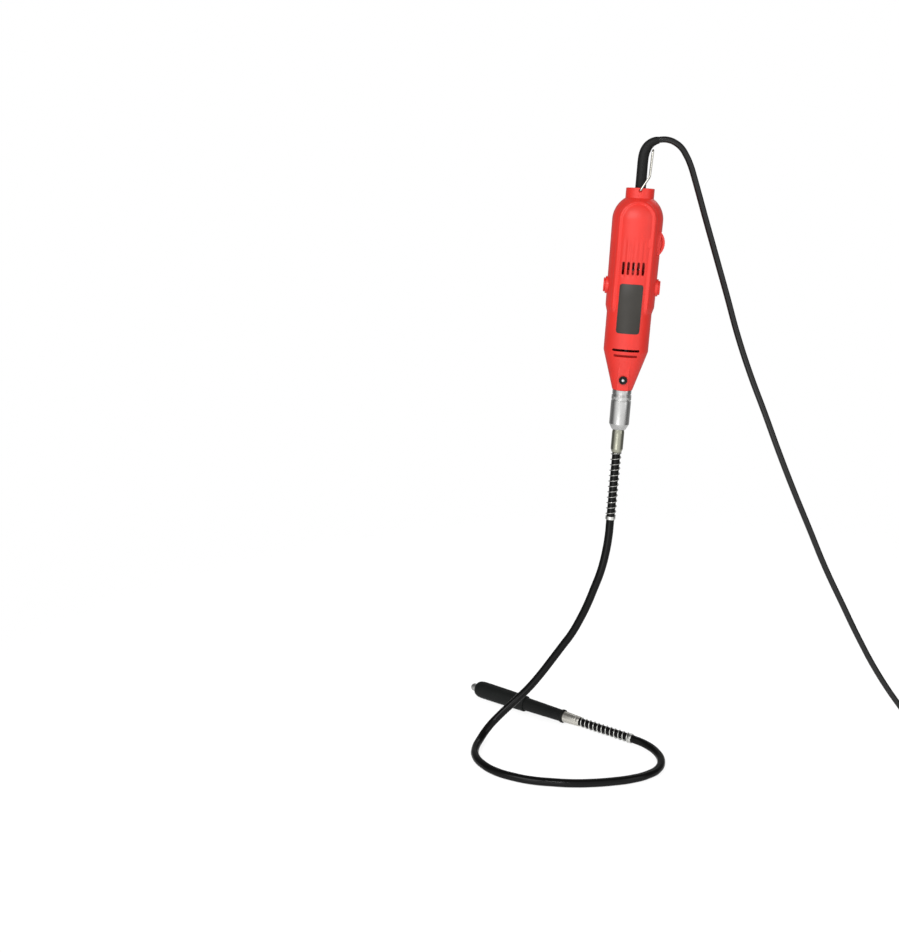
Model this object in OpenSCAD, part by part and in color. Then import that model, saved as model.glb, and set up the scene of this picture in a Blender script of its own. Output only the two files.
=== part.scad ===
// Hanging rotary tool with a flexible shaft.
// A motor unit hangs by a wire bail. Its nut carries a sheathed flexible shaft that ends in a slim
// handpiece, which lies with the shaft's loop and the mains cord's coil on a table below.
// The origin is under the middle of the bail's crossbar, where a hook carries it. +Z is up, the
// front of the motor unit faces -Y. Tool parts are placed by s, the distance down the tool's own
// axis from the top of the collar, and handpiece parts by t, from the shaft's entry to the tip.

/* [Hanging] */
// Height of the bail's crossbar above the table that the loop, handpiece and coil lie on
table_drop = 695; // [685:1:705]
// Sideways place of the collar's top, from the crossbar
collar_x = -12; // [-14:0.5:-11.5]
// Depth of the collar's top below the crossbar's underside
collar_drop = 38; // [36:0.5:42]
// Lean of the tool from the vertical, its nose to the left
lean = 3.3; // [0:0.1:4]

/* [Housing] */
// Diameter of the collar at the tail
collar_d = 31; // [29:0.5:34]
// Diameter of the dome and of the upper body under it
body_d = 55.6; // [55:0.2:60]
// Distance from the collar's top to the dome's widest ring
dome_s = 34; // [33:0.5:36]
// Diameter of the upper body where the step begins
hip_d = 54; // [53:0.2:55]
// Distance from the collar's top to the step
step_s = 128; // [124:1:132]
// Length of the sloping step
step_len = 7; // [4:0.5:10]
// Diameter of the lower body
waist_d = 49.8; // [49:0.2:52]
// Height of the nose cone
cone_up = 44.5; // [42:0.5:48]
// Length of the housing from the collar's top to the nose
housing_len = 222; // [220:1:226]
// Diameter of the nose's end
nose_d = 22.6; // [20.6:0.1:23.2]
// Thickness of the moulded wall under the front panel
wall = 2.4; // [2:0.1:2.8]
// Depth of the arched panel below the body
panel_depth = 1.2; // [0.6:0.1:1.6]
// Half the width of the arched rim, at the middle of the rim
rim_half = 19; // [16:0.5:21]
// Width of the arched rim
rim_w = 3.4; // [2:0.1:5]
// Height of the arched rim above the body
rim_h = 0.8; // [0.4:0.1:1.5]
// Distance from the collar's top to the rim's apex
rim_s = 14.5; // [13:0.5:18]
// Thickness of the rib that carries the rear bearing
carrier_t = 8; // [7:0.5:10]
// Distance from the nose's end up to where the solid nose begins
nose_up = 34; // [33:0.5:36]

/* [Vents and plate] */
// Number of upright vent slots in the panel
vent_count = 5; // [3:1:5]
// Distance between the upright slots' middles
vent_pitch = 5.4; // [4.5:0.1:6]
// Length of an upright slot
vent_len = 14; // [8:1:16]
// Width of every vent slot
vent_w = 2.8; // [1.5:0.1:3.2]
// Distance from the collar's top to the upright slots' upper ends
vent_s = 79; // [76.5:0.5:80.5]
// Distance from the nose's end up to the upper cross slot
outlet_up = 46.4; // [45:0.2:49]
// Distance between the two cross slots
outlet_pitch = 6.3; // [5:0.1:7]
// Length of the upper cross slot
outlet_len = 30; // [20:1:34]
// Width of the plate on the panel
plate_w = 25.6; // [18:0.2:28]
// Distance between the plate's lower edge and the nose cone
plate_gap = 20.7; // [17:0.1:34]
// Distance from the collar's top to the plate's upper edge
plate_s = 102.8; // [101:0.2:107]
// Radius of the plate's corners
plate_corner = 3.4; // [1:0.2:6]
// Height of the plate above the panel
plate_t = 0.5; // [0.3:0.1:1]

/* [Screws] */
// Diameter of the housing screws' shanks
screw_d = 3; // [2.5:0.1:3.2]
// Length of a housing screw under its head
screw_len = 14; // [12:0.5:15]
// Diameter of the housing screws' heads
screw_head_d = 5.6; // [5:0.1:5.8]
// Height of the screws' heads
screw_head_h = 2.2; // [1.5:0.1:2.6]
// Depth of the heads' seats behind the parting plane
screw_seat = 6; // [5:0.5:7]
// Outer diameter of the posts that take the screws
post_d = 8; // [7.4:0.2:8.4]
// Distance of the upper screws from the middle
post_top_x = 15; // [14:0.5:16]
// Distance from the collar's top to the upper screws
post_top_s = 30; // [29:0.5:32]
// Distance of the middle screws from the middle
post_middle_x = 19; // [18:0.5:20]
// Distance from the collar's top to the middle screws
post_middle_s = 84; // [82:0.5:85]
// Distance of the lower screws from the middle
post_low_x = 11.5; // [11:0.1:12]
// Distance from the nose's end up to the lower screws
post_low_up = 19; // [18:0.5:20]

/* [Bail and cord] */
// Diameter of the bail's wire
bail_wire_d = 2.2; // [1.8:0.1:2.4]
// Distance from the collar's top to the bail's pivot
bail_s = 3; // [2.5:0.1:3.5]
// Gap between the collar and each of the bail's legs
bail_gap = 0.5; // [0.4:0.1:1.5]
// Depth that each end of the wire reaches into the collar
bail_grip = 4.6; // [3:0.1:5]
// Play of the bail in its holes, on the radius
bail_play = 0.08; // [0.03:0.01:0.1]
// Diameter of the mains cord
cord_d = 6.6; // [6:0.1:6.8]
// Diameter of the strain relief at the collar
relief_d = 11.8; // [11:0.1:12]
// Diameter of the strain relief at its free end
relief_tip_d = 8.2; // [7.6:0.1:8.6]
// Diameter of the flange that holds the strain relief in the collar
relief_flange_d = 17; // [15:0.5:18]
// Thickness of that flange
relief_flange_t = 3; // [2:0.2:4]
// Distance from the collar's top to that flange
relief_flange_s = 6; // [5.5:0.1:7]
// Diameter of the coil of spare cord, to the middle of its outer turn
coil_d = 89.4; // [84:0.2:94]
// Turns of the coil in each of its two layers, without the climb between them
coil_turns = 1.375; // [1.375,2.375]
// Gap between the coil's neighbouring turns
coil_gap = 0.8; // [0.6:0.1:1.2]
// Thickness of the tie round the coil
tie_t = 0.8; // [0.6:0.1:1.2]
// Width of the tie
tie_w = 12; // [6:1:16]
// Length of cord between the coil and the plug
tail_len = 44; // [40:1:60]

/* [Plug] */
// Length of the plug's body
plug_len = 34; // [30:1:38]
// Width of the plug's body at the pins
plug_w = 35; // [33:0.5:37]
// Width of the plug's body at the cord
plug_neck_w = 15; // [13:0.5:18]
// Thickness of the plug's body
plug_t = 13.6; // [12:0.2:15]
// Diameter of a plug pin
pin_d = 4; // [4:0.1:4.8]
// Length that a plug pin stands out
pin_len = 19; // [18:0.5:20]
// Distance between the plug pins' axes
pin_pitch = 19; // [18:0.2:20]

/* [Speed control] */
// Diameter of the speed dial
dial_d = 36; // [35:0.5:37]
// Thickness of the speed dial
dial_t = 8; // [6:0.5:9]
// Height that the dial stands out of the housing
dial_out = 4.4; // [3.5:0.1:5]
// Distance from the collar's top to the dial's axis
dial_s = 58; // [57:0.5:59]
// Diameter of the dial's shaft
dial_shaft_d = 5; // [4:0.1:6]
// Gap between the dial and its slot
dial_gap = 0.6; // [0.4:0.1:1]
// Diameter of the control's round case
control_d = 12; // [11:0.5:12.5]
// Height of the control's case
control_h = 7; // [6:0.2:7.6]
// Distance from the collar's top to the circuit board
board_s = 42; // [41:0.5:43]
// Thickness of the circuit board
board_t = 1.6; // [1.2:0.1:2]
// Width of the circuit board
board_w = 32; // [28:0.5:34]
// Length of the circuit board
board_len = 30; // [28:1:31]
// Diameter of the lead wires, over their insulation
lead_d = 1.6; // [1.2:0.1:2]

/* [Motor] */
// Diameter of the motor's shaft
shaft_d = 8; // [7.6:0.1:8]
// Diameter of the shaft's rear journal
journal_d = 7; // [6:0.1:7.2]
// Running play of the shafts in their bearings, on the radius
play = 0.03; // [0.02:0.01:0.08]
// Outer diameter of the rear bearing
rear_bearing_d = 19; // [18:0.5:20]
// Width of the rear bearing
rear_bearing_w = 6; // [5:0.5:6.5]
// Distance from the collar's top to the rear bearing
rear_bearing_s = 89; // [88.5:0.5:89.5]
// Outer diameter of the front bearing
front_bearing_d = 22; // [20:0.5:23]
// Width of the front bearing
front_bearing_w = 7; // [6:0.5:7.5]
// Distance from the nose's end up to the front bearing
front_bearing_up = 32; // [31.5:0.5:32.5]
// Distance from the collar's top to the brushes
brush_s = 106; // [105.5:0.2:106.5]
// Diameter of the commutator
commutator_d = 16; // [15:0.5:17]
// Length of the commutator
commutator_len = 13; // [11:0.5:13]
// Distance from the collar's top to the iron stack
stack_s = 122; // [121:0.5:123]
// Distance from the nose's end up to the motor shaft's end
shaft_up = 15; // [14:0.5:16]
// Distance between the iron stack and the fan's plate
stack_gap = 10; // [9:1:14]
// Diameter of the armature's iron
armature_d = 29; // [27:0.5:29.6]
// Gap between armature and field iron
air_gap = 0.6; // [0.4:0.1:0.8]
// Thickness of the field's yoke
yoke_t = 2.8; // [2.4:0.1:3]
// Length that the windings stand out of the iron at each end
winding_out = 5; // [4:0.2:5.4]
// Distance from the nose's end up to the fan's plate
fan_up = 60; // [58:0.5:61]
// Diameter of the cooling fan
fan_d = 40; // [34:0.5:42]
// Number of fan blades
fan_blades = 9; // [7:1:12]
// Height of the fan's blades
fan_h = 7; // [5:0.5:8]

/* [Brushes] */
// Diameter of the round bosses for the brush caps
boss_d = 19; // [18:0.5:20]
// Height of the bosses above the body
boss_out = 2; // [1.5:0.1:2.4]
// Diameter of a brush cap's head
cap_d = 15.6; // [14:0.2:17]
// Height of a brush cap's head
cap_h = 1.8; // [1.4:0.1:2.4]
// Diameter of a brush cap's threaded plug
cap_plug_d = 11; // [10:0.2:12]
// Play of a cap's thread, on the radius
thread_play = 0.05; // [0.03:0.01:0.08]
// Thickness of a carbon brush
brush_t = 6; // [5:0.2:6.4]
// Width of a carbon brush along the shaft
brush_w = 6.4; // [5:0.2:7]
// Length of a carbon brush
brush_len = 9; // [8:0.5:9.4]
// Wall of the brush holders
holder_wall = 1.2; // [1:0.1:1.4]

/* [Spindle lock] */
// Distance from the nose's end up to the lock
lock_up = 12.4; // [11.9:0.1:12.9]
// Diameter of the lock's button
lock_d = 9.3; // [8.4:0.1:9.8]
// Height that the button stands out of its pad
lock_out = 2.9; // [2.7:0.1:3.4]
// Travel of the button
lock_travel = 2.5; // [2:0.1:2.6]
// Diameter of the lock's steel pin
lock_pin_d = 3.4; // [3:0.1:3.6]
// Play of the button and pin in their holes, on the radius
lock_play = 0.08; // [0.05:0.01:0.1]
// Width of the flat pad round the lock
pad_w = 13; // [12.4:0.2:14]
// Height of the pad
pad_len = 27; // [26:0.5:28]
// Distance from the axis to the pad's upper edge
pad_top_y = 19; // [18.6:0.1:19.4]
// Distance from the axis to the pad's lower edge
pad_low_y = 12.8; // [12.6:0.1:13.2]

/* [Coupling] */
// Diameter of the nose's threaded bushing
thread_d = 15; // [14.6:0.1:15.4]
// Wall of that bushing
thread_wall = 1.5; // [1.3:0.1:1.6]
// Distance from the nose's end up to the bushing's upper end
bushing_up = 22; // [21:0.5:23]
// Distance from the nose's end up to the drive socket's upper end
socket_up = 22.5; // [22:0.1:23]
// Distance from the nose's end up to the drive tip's upper end
tip_up = 3; // [2:0.5:4]
// Length of the bushing outside the nose
thread_out = 10; // [8:0.5:12]
// Diameter of the coupling nut
nut_d = 22.6; // [21.4:0.1:24]
// Diameter of the nut's neck
nut_neck_d = 21.4; // [19.8:0.1:21.6]
// Diameter of the nut's small end
nut_tip_d = 15.6; // [15:0.1:16.6]
// Length of the coupling nut
nut_len = 45.7; // [44:0.5:48]
// Gap between the nose and the nut
nut_gap = 0.3; // [0.2:0.1:0.6]
// Diameter of the spindle's drive socket
socket_d = 11.2; // [10.6:0.1:11.6]
// Diameter of the shaft's drive tip
drive_tip_d = 4.9; // [4.5:0.1:5.2]

/* [Flexible shaft] */
// Outer diameter of the sheath
sheath_d = 9.4; // [9.2:0.1:9.5]
// Bore of the sheath
sheath_bore = 5.2; // [4.8:0.1:5.4]
// Diameter of the turning core
core_d = 3.8; // [3.2:0.1:4]
// Diameter of the upper ferrule
ferrule_d = 13.9; // [13:0.1:14]
// Length of the upper ferrule that shows below the nut
ferrule_len = 26.8; // [24:0.2:28]
// Diameter of the ferrule's hidden flange
flange_d = 14.8; // [14.4:0.1:14.9]
// Mean diameter of the two springs
spring_d = 11; // [10.9:0.05:11.1]
// Diameter of the springs' wire
spring_wire_d = 1.3; // [1:0.05:1.3]
// Length of the upper spring
upper_spring_len = 76; // [70:0.5:79]
// Length of the lower spring
lower_spring_len = 71; // [66:0.5:74]
// Turns in each spring
spring_turns = 12; // [9:1:14]
// Length of the springs' end rings
ring_len = 4; // [3:0.2:4.6]
// Diameter of the springs' end rings
ring_d = 11.6; // [11.2:0.1:12.2]

/* [Handpiece] */
// Turn of the handpiece on the table, from the left towards the back
hand_turn = 31.5; // [30:0.5:33]
// Height of the handpiece's axis above the table
hand_rise = 11.1; // [11.1:0.1:12.5]
// Length of the metal ferrule behind the handpiece
tail_ferrule_len = 24; // [22:0.5:26]
// Diameter of that ferrule at the handpiece
tail_ferrule_d = 14; // [13.6:0.1:14.4]
// Diameter of that ferrule at the spring
tail_ferrule_tip_d = 12; // [11.6:0.1:12.6]
// Length of the black handpiece
hand_len = 140; // [136:1:144]
// Share of that length taken by the front grip
grip_len = 80; // [76:1:84]
// Largest diameter of the grip
grip_d = 22; // [21.2:0.1:22.2]
// Diameter of the grip at the sleeve
grip_rear_d = 20.4; // [19.8:0.1:20.8]
// Diameter of the sleeve at the grip
sleeve_d = 16; // [15.8:0.1:16.4]
// Diameter of the sleeve near its tail
sleeve_tail_d = 14.8; // [14.6:0.1:15]
// Diameter of the bearing barrel inside
barrel_d = 14; // [13.6:0.1:14.2]
// Outer diameter of the handpiece's bearings
hand_bearing_d = 12; // [11:0.1:12.4]
// Width of the handpiece's bearings
hand_bearing_w = 5; // [4:0.5:6]
// Diameter of the handpiece's spindle
spindle_d = 6; // [5.8:0.1:6.4]
// Diameter of the collet nut
collet_nut_d = 10; // [9.4:0.1:10.4]
// Length of the collet nut in front of the grip
collet_nut_len = 9.5; // [8.5:0.5:11]
// Bore of the collet
collet_bore = 3.2; // [3:0.1:3.2]
// Outer diameter of the collet
collet_d = 5; // [4.8:0.1:5.2]
// Length of the collet
collet_len = 12; // [11:0.5:13]

/* [Hidden] */
$fn = 96;

red = [0.88, 0.20, 0.17];
black = [0.07, 0.07, 0.07];
graphite = [0.28, 0.27, 0.25];
steel = [0.72, 0.72, 0.72];
silver = [0.84, 0.84, 0.84];
nickel = [0.68, 0.66, 0.58];
copper = [0.72, 0.42, 0.22];
iron = [0.45, 0.45, 0.46];
board_green = [0.10, 0.35, 0.20];

// Overlap that joins shapes of one solid, and the reach of a cut that goes right out
join = 0.5;
past = 60;

// Places along the housing keep their share of its length
cone_s = housing_len - cone_up;
nose_s = housing_len - nose_up;
outlet_s = housing_len - outlet_up;
front_bearing_s = housing_len - front_bearing_up;
fan_s = housing_len - fan_up;
lock_s = housing_len - lock_up;

// Housing
collar_r = collar_d / 2;
body_r = body_d / 2;
hip_r = hip_d / 2;
waist_r = waist_d / 2;
step_end = step_s + step_len;
cavity_top_r = body_r - panel_depth - wall;
cavity_r = waist_r - wall;
nose_wall_r = cone_r(nose_s) - wall;
seam = 0.02;
rim_arc_s = rim_s + rim_half;
post_low_s = housing_len - post_low_up;
post_places = [
    [-post_top_x, post_top_s], [post_top_x, post_top_s],
    [-post_middle_x, post_middle_s], [post_middle_x, post_middle_s],
    [-post_low_x, post_low_s], [post_low_x, post_low_s]
];
pad_top_s = housing_len - pad_len;
stack_len = fan_s - stack_gap - stack_s;
plate_len = cone_s - plate_gap - plate_s;

function cone_r(s) = waist_r + (nose_d / 2 - waist_r) * (s - cone_s) / (housing_len - cone_s);
function pad_y(s) = pad_top_y + (pad_low_y - pad_top_y) * (s - pad_top_s) / (housing_len - pad_top_s);
function upper_r(s) = body_r + (hip_r - body_r) * (s - dome_s) / (step_s - dome_s);

// A point on the tool's axis, and one on the handpiece's
function tool_point(s) =
    [collar_x - s * sin(lean), 0, -collar_drop - s * cos(lean)];
hand_way = [-cos(hand_turn), sin(hand_turn), 0];
hand_entry = [1, -5, hand_rise - table_drop];
function hand_point(t) = hand_entry + t * hand_way;

// Speed control
dial_r = dial_d / 2;
dial_x = upper_r(dial_s) + dial_out - dial_r;
control_y = dial_t / 2 + 1.4;
board_y = control_y + control_h;
capacitor_w = 8;
capacitor_t = 7;
capacitor_len = 17;
capacitor_inset = 2;
capacitor_down = 5;
lead_cord_x = 1.8;
lead_cord_gap = 0.6;
lead_board_x = 3;
lead_board_down = 3;
lead_out_x = 10;
lead_out_up = 2;
lead_brush_x = 14;
lead_brush_up = 1;

// Motor
shaft_r = shaft_d / 2;
field_r = cavity_r - 0.2;
pole_r = armature_d / 2 + air_gap;
coil_r = field_r - yoke_t - 0.3;
shaft_step_s = rear_bearing_s + rear_bearing_w + 1;
shaft_end_s = housing_len - shaft_up;
socket_s = housing_len - socket_up;
cap_x = upper_r(brush_s) + boss_out;
cap_gap = 0.2;
cap_plug_x = 22.4;
brush_x = commutator_d / 2 + 0.1;
brush_fit = 0.1;
pole_turn = 55;
coil_turn = 82;
coil_pole_turn = 58;

// Nose, lock and coupling
thread_r = thread_d / 2;
thread_bore_r = thread_r - thread_wall;
nut_s = housing_len + nut_gap;
nut_end = nut_s + nut_len;
bushing_s = housing_len - bushing_up;
lock_floor = thread_r + 1.1;
lock_face = pad_y(lock_s) + lock_out;
lock_button_h = lock_face - lock_floor - lock_travel - 1.7;
lock_tip = socket_d / 2 + 0.5;
shoulder_s = nut_end - 6.4;
ferrule_end = nut_end + ferrule_len;
flange_t = 3;
tip_s = housing_len - tip_up;

// Flexible shaft
sheath_r = sheath_d / 2;
spring_r = spring_d / 2;
sheath_s = shoulder_s + 2;
spring_s = ferrule_end + 0.2;
upper_ring_s = spring_s + upper_spring_len;
sheath_end_t = ring_len + lower_spring_len + 14;
// From the upper end ring down to the table, round the loop and up to the handpiece, in mm
flex_route = [
    [-35, 0, -434], [-38, 0, -455], [-43, 0, -477], [-50, 1, -498], [-57.5, 2, -519],
    [-66, 4, -539], [-75.5, 6, -558], [-87, 8, -576], [-99.5, 9, -595], [-112.5, 9, -614],
    [-126.5, 8, -632], [-143, 5, -649], [-159, -1, -664], [-172.5, -11, -677], [-181, -26, -686.5],
    [-184.5, -46, -689.9], [-181.5, -67, -690.2], [-170, -87, -690.2], [-153.5, -102, -690.2],
    [-133, -111.5, -690.2], [-111, -117, -690.2], [-88, -118, -690.2], [-65, -117, -690.2],
    [-42, -112.5, -690.2], [-20, -105.5, -690.2], [0.5, -96.5, -690.2], [18.5, -83.5, -690.2],
    [30.5, -67.5, -690.1], [34.5, -49.5, -689.2], [30.5, -31.5, -687.8], [18.5, -16, -685.6]
];
flex_path = concat(
    [for (s = [sheath_s, ferrule_end, spring_s + upper_spring_len / 2, upper_ring_s + ring_len])
        tool_point(s)],
    flex_route,
    [for (t = [0, ring_len + lower_spring_len / 2, ring_len + lower_spring_len, sheath_end_t])
        hand_point(t)]
);

// Mains cord: from the strain relief over the hook and down to the coil, in mm
relief_route = [
    [-10.7, 0, -14], [-10.3, 0, -8], [-9.4, 0, -2], [-7.2, 0, 3.8], [-3.6, 0, 8.4]
];
cord_route = [
    [2, 0, 11.6], [9, 0, 13], [16, 0, 12.5], [23, 0, 9.8], [30, 0, 4.4], [35.5, 0, -3.6],
    [41, 0, -15], [45.5, 0, -28], [51, 0, -45], [58, 0, -67], [65, 0, -89], [72, 0, -110],
    [79, 0, -132], [86, 0, -153], [93, 0, -175], [100, 0, -197], [108, 0, -219],
    [116, 0, -240], [125, 0, -261], [134, 0, -283], [143, 0, -305], [152, 0, -327],
    [161, 0, -349], [171, 0, -371], [181, 0, -393], [191, 0, -415], [201, 0, -437],
    [211, 0, -459], [222, 0, -481], [233, 0, -502], [244, 0, -523], [255, 0, -544],
    [267, 0, -565], [279, 0, -585], [292, 0, -604], [306, 0, -623], [321, 0, -641],
    [338, 0, -656], [357, 0, -669], [378, 0, -678]
];
cord_r = cord_d / 2;
coil_x = 402;
coil_pitch = cord_d + coil_gap;
coil_out_r = coil_d / 2;
coil_in_r = coil_out_r - coil_turns * coil_pitch;
coil_low_z = tie_t + 0.1 + cord_r - table_drop;
coil_high_z = coil_low_z + coil_pitch;
coil_y = coil_out_r;
coil_steps = 24;
climb_in = 1.4;
coil_total = 2 * coil_turns + 0.5;
relief_s = relief_flange_s + relief_flange_t;
cord_inner_s = 27;
clamp_s = 20;
clamp_x = 7.5;
relief_end = [6, 0, 12.4];
relief_free = concat([for (s = [2, -12]) tool_point(s)], relief_route, [cord_route[0], relief_end]);
relief_last = len(relief_free) - 1;
relief_bend = 5;
relief_root_r = relief_d / 2 - 0.06;
relief_bend_r = relief_d / 2 - 0.3;
function relief_r(i) =
    i <= relief_bend ? relief_root_r + (relief_bend_r - relief_root_r) * i / relief_bend
    : relief_bend_r + (relief_tip_d / 2 - relief_bend_r) * (i - relief_bend) / (relief_last - relief_bend);
cord_path = concat(
    [for (s = [cord_inner_s, 14, 0, -12]) tool_point(s)],
    relief_route,
    cord_route,
    [for (back = [2.5, 1]) [coil_x - back * cord_d, 0, coil_high_z]]
);
plug_z = plug_t / 2 - table_drop;
pin_root = 8;
pin_root_r = pin_d / 2 - 0.4;
plug_y = coil_y + cord_d + tail_len;
tail_level = 5;
tail_sleeve = 13;
tail_rise = tail_len - tail_level - tail_sleeve;
function tail_point(y, z) = [coil_x + coil_out_r, coil_y + cord_d + y, z];
tail_path = concat(
    [tail_point(0, coil_low_z)],
    [for (k = [0:0.2:1])
        tail_point(tail_level + k * tail_rise,
            coil_low_z + (plug_z - coil_low_z) * (1 - cos(180 * k)) / 2)],
    [tail_point(tail_len, plug_z)]
);

// The coil spirals in on its upper layer, drops a layer in half a turn and spirals out below
function coil_radius(k) =
    k < coil_turns ? coil_out_r - k * coil_pitch
    : k < coil_turns + 0.5 ? coil_in_r - climb_in * sin(360 * (k - coil_turns))
    : coil_in_r + (k - coil_turns - 0.5) * coil_pitch;
function coil_height(k) =
    k < coil_turns ? coil_high_z
    : k < coil_turns + 0.5
        ? coil_high_z - coil_pitch * (1 - cos(360 * (k - coil_turns))) / 2
    : coil_low_z;
function coil_point(k) = [
    coil_x + coil_radius(k) * sin(360 * k),
    coil_y - coil_radius(k) * cos(360 * k),
    coil_height(k)
];
coil_last = coil_total * coil_steps;
coil_path = concat(
    [[coil_x - cord_d, 0, coil_high_z]],
    [for (i = [0:coil_last]) coil_point(i / coil_steps)],
    [[coil_x + coil_out_r, coil_y + cord_d, coil_low_z]]
);

// Helix of a spring that stands on z = 0, its two ends straight
turn_steps = 16;
function spring_path(length, turns) = concat(
    [[spring_r, 0, 0]],
    [for (i = [0:turn_steps * turns])
        [spring_r * cos(360 * i / turn_steps), spring_r * sin(360 * i / turn_steps),
            spring_wire_d + (length - 2 * spring_wire_d) * i / (turn_steps * turns)]],
    [[spring_r, 0, length]]
);

// Least gap of a wound tube to itself, on points further apart along it than the skip
function least_gap(path, thick, skip) =
    min([for (i = [0:len(path) - skip - 1], j = [i + skip:len(path) - 1])
        norm(path[i] - path[j])]) - thick;
echo(upper_spring_least_gap = least_gap(spring_path(upper_spring_len, spring_turns), spring_wire_d, 9));
echo(lower_spring_least_gap = least_gap(spring_path(lower_spring_len, spring_turns), spring_wire_d, 9));
echo(coil_least_gap = least_gap(coil_path, cord_d, 13));

// Sweep of a ring of sides along a path, turned no more than the path turns
function unit(v) = v / norm(v);
function tangents(p) =
    [for (i = [0:len(p) - 1]) unit(p[min(i + 1, len(p) - 1)] - p[max(i - 1, 0)])];
function square_to(t) = unit(cross(t, abs(t.y) < 0.9 ? [0, 1, 0] : [1, 0, 0]));
function normals(t) =
    [for (i = 0, n = square_to(t[0]); i < len(t);
        i = i + 1, n = i < len(t) ? unit(n - (n * t[i]) * t[i]) : n) n];
function width_at(r, i) = is_list(r) ? r[i] : r;
function rings(p, r, sides) =
    let (t = tangents(p), n = normals(t))
    [for (i = [0:len(p) - 1], k = [0:sides - 1])
        let (a = 360 * (k + 0.5) / sides)
        p[i] + width_at(r, i) * (cos(a) * n[i] + sin(a) * cross(t[i], n[i]))];
function side_faces(count, sides, first = 0, inward = false) =
    [for (i = [0:count - 2], k = [0:sides - 1], half = [0, 1])
        let (a = first + i * sides + k, b = first + i * sides + (k + 1) % sides,
            face = half == 0 ? [a, a + sides, b + sides] : [a, b + sides, b])
        inward ? [face[0], face[2], face[1]] : face];
function cap_faces(sides, first, last) = concat(
    [for (k = [1:sides - 2]) [first, first + k, first + k + 1]],
    [for (k = [1:sides - 2]) [last, last + k + 1, last + k]]
);
function rim_faces(sides, outer, inner, last) =
    [for (k = [0:sides - 1], half = [0, 1])
        let (m = (k + 1) % sides,
            face = half == 0 ? [outer + k, outer + m, inner + m] : [outer + k, inner + m, inner + k])
        last ? [face[0], face[2], face[1]] : face];

module tube(path, r, sides = 12) {
    count = len(path);
    polyhedron(
        points = rings(path, r, sides),
        faces = concat(side_faces(count, sides), cap_faces(sides, 0, (count - 1) * sides))
    );
}

module hose(path, r, bore_r, sides = 12) {
    count = len(path);
    inner = count * sides;
    polyhedron(
        points = concat(rings(path, r, sides), rings(path, bore_r, sides)),
        faces = concat(
            side_faces(count, sides),
            side_faces(count, sides, inner, true),
            rim_faces(sides, 0, inner, false),
            rim_faces(sides, (count - 1) * sides, inner + (count - 1) * sides, true)
        )
    );
}

module at_tool() {
    translate([collar_x, 0, -collar_drop])
        rotate([0, lean, 0])
            children();
}

module at_hand() {
    translate(hand_entry)
        rotate([0, 0, 180 - hand_turn])
            rotate([0, 90, 0])
                children();
}

// Solid of revolution between two distances down the tool, and along the handpiece
module down(s1, s2, r1, r2) {
    translate([0, 0, -s2])
        cylinder(h = s2 - s1, r1 = r2, r2 = r1);
}

module along(t1, t2, r1, r2) {
    translate([0, 0, t1])
        cylinder(h = t2 - t1, r1 = r1, r2 = r2);
}

module ring_down(s1, s2, r, bore_r) {
    difference() {
        down(s1, s2, r, r);
        down(s1 - join, s2 + join, bore_r, bore_r);
    }
}

module ring_along(t1, t2, r, bore_r) {
    difference() {
        along(t1, t2, r, r);
        along(t1 - join, t2 + join, bore_r, bore_r);
    }
}

module rod(a, b, r) {
    way = b - a;
    translate(a)
        rotate([0, acos(way.z / norm(way)), atan2(way.y, way.x)])
            cylinder(h = norm(way), r = r, $fn = 48);
}

// A drawing in x and z pushed towards the front, from the parting plane
module to_front(depth) {
    rotate([90, 0, 0])
        linear_extrude(height = depth)
            children();
}

module across(x1, x2, r, s) {
    translate([x1, 0, -s])
        rotate([0, 90, 0])
            cylinder(h = x2 - x1, r = r);
}

module through_y(x, s, y1, y2, r) {
    translate([x, y1, -s])
        rotate([-90, 0, 0])
            cylinder(h = y2 - y1, r = r);
}

module round_rect(w, h, corner) {
    for (x = [-1, 1], y = [-1, 1])
        translate([x * (w / 2 - corner), y * (h / 2 - corner)])
            circle(r = corner);
    square([w - 2 * corner, h], center = true);
    square([w, h - 2 * corner], center = true);
}

module slot_2d(w, h) {
    end = min(w, h) / 2;
    round_rect(w, h, end - 0.01);
}

module arch_2d(half, bottom_s) {
    translate([0, -rim_arc_s])
        circle(r = half);
    translate([-half, -bottom_s])
        square([2 * half, bottom_s - rim_arc_s]);
}

module body_form(grow = 0) {
    translate([0, 0, -dome_s])
        sphere(r = body_r + grow);
    down(dome_s, step_s, body_r + grow, hip_r + grow);
    down(step_s, step_end, hip_r + grow, waist_r + grow);
    down(step_end, cone_s, waist_r + grow, waist_r + grow);
    down(cone_s, housing_len, waist_r + grow, nose_d / 2 + grow);
}

module panel_floor() {
    translate([0, 0, -dome_s])
        sphere(r = body_r - panel_depth);
    down(dome_s, step_end + join, body_r - panel_depth, waist_r);
}

module both_sides() {
    children();
    mirror([0, 1, 0])
        children();
}

module rims() {
    intersection() {
        both_sides()
            to_front(body_r + 3)
                difference() {
                    arch_2d(rim_half + rim_w / 2, step_end);
                    arch_2d(rim_half - rim_w / 2, step_end + 1);
                }
        body_form(rim_h);
    }
}

module panel_cuts() {
    difference() {
        both_sides()
            to_front(body_r + 3)
                arch_2d(rim_half - rim_w / 2, step_end);
        panel_floor();
    }
}

module brush_bosses() {
    across(-cap_x, cap_x, boss_d / 2, brush_s);
}

module nose_pad() {
    rotate([90, 0, 90])
        translate([0, 0, -pad_w / 2])
            linear_extrude(height = pad_w)
                polygon([
                    [0, -pad_top_s], [-pad_top_y, -pad_top_s],
                    [-pad_low_y, -housing_len], [0, -housing_len]
                ]);
}

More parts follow.
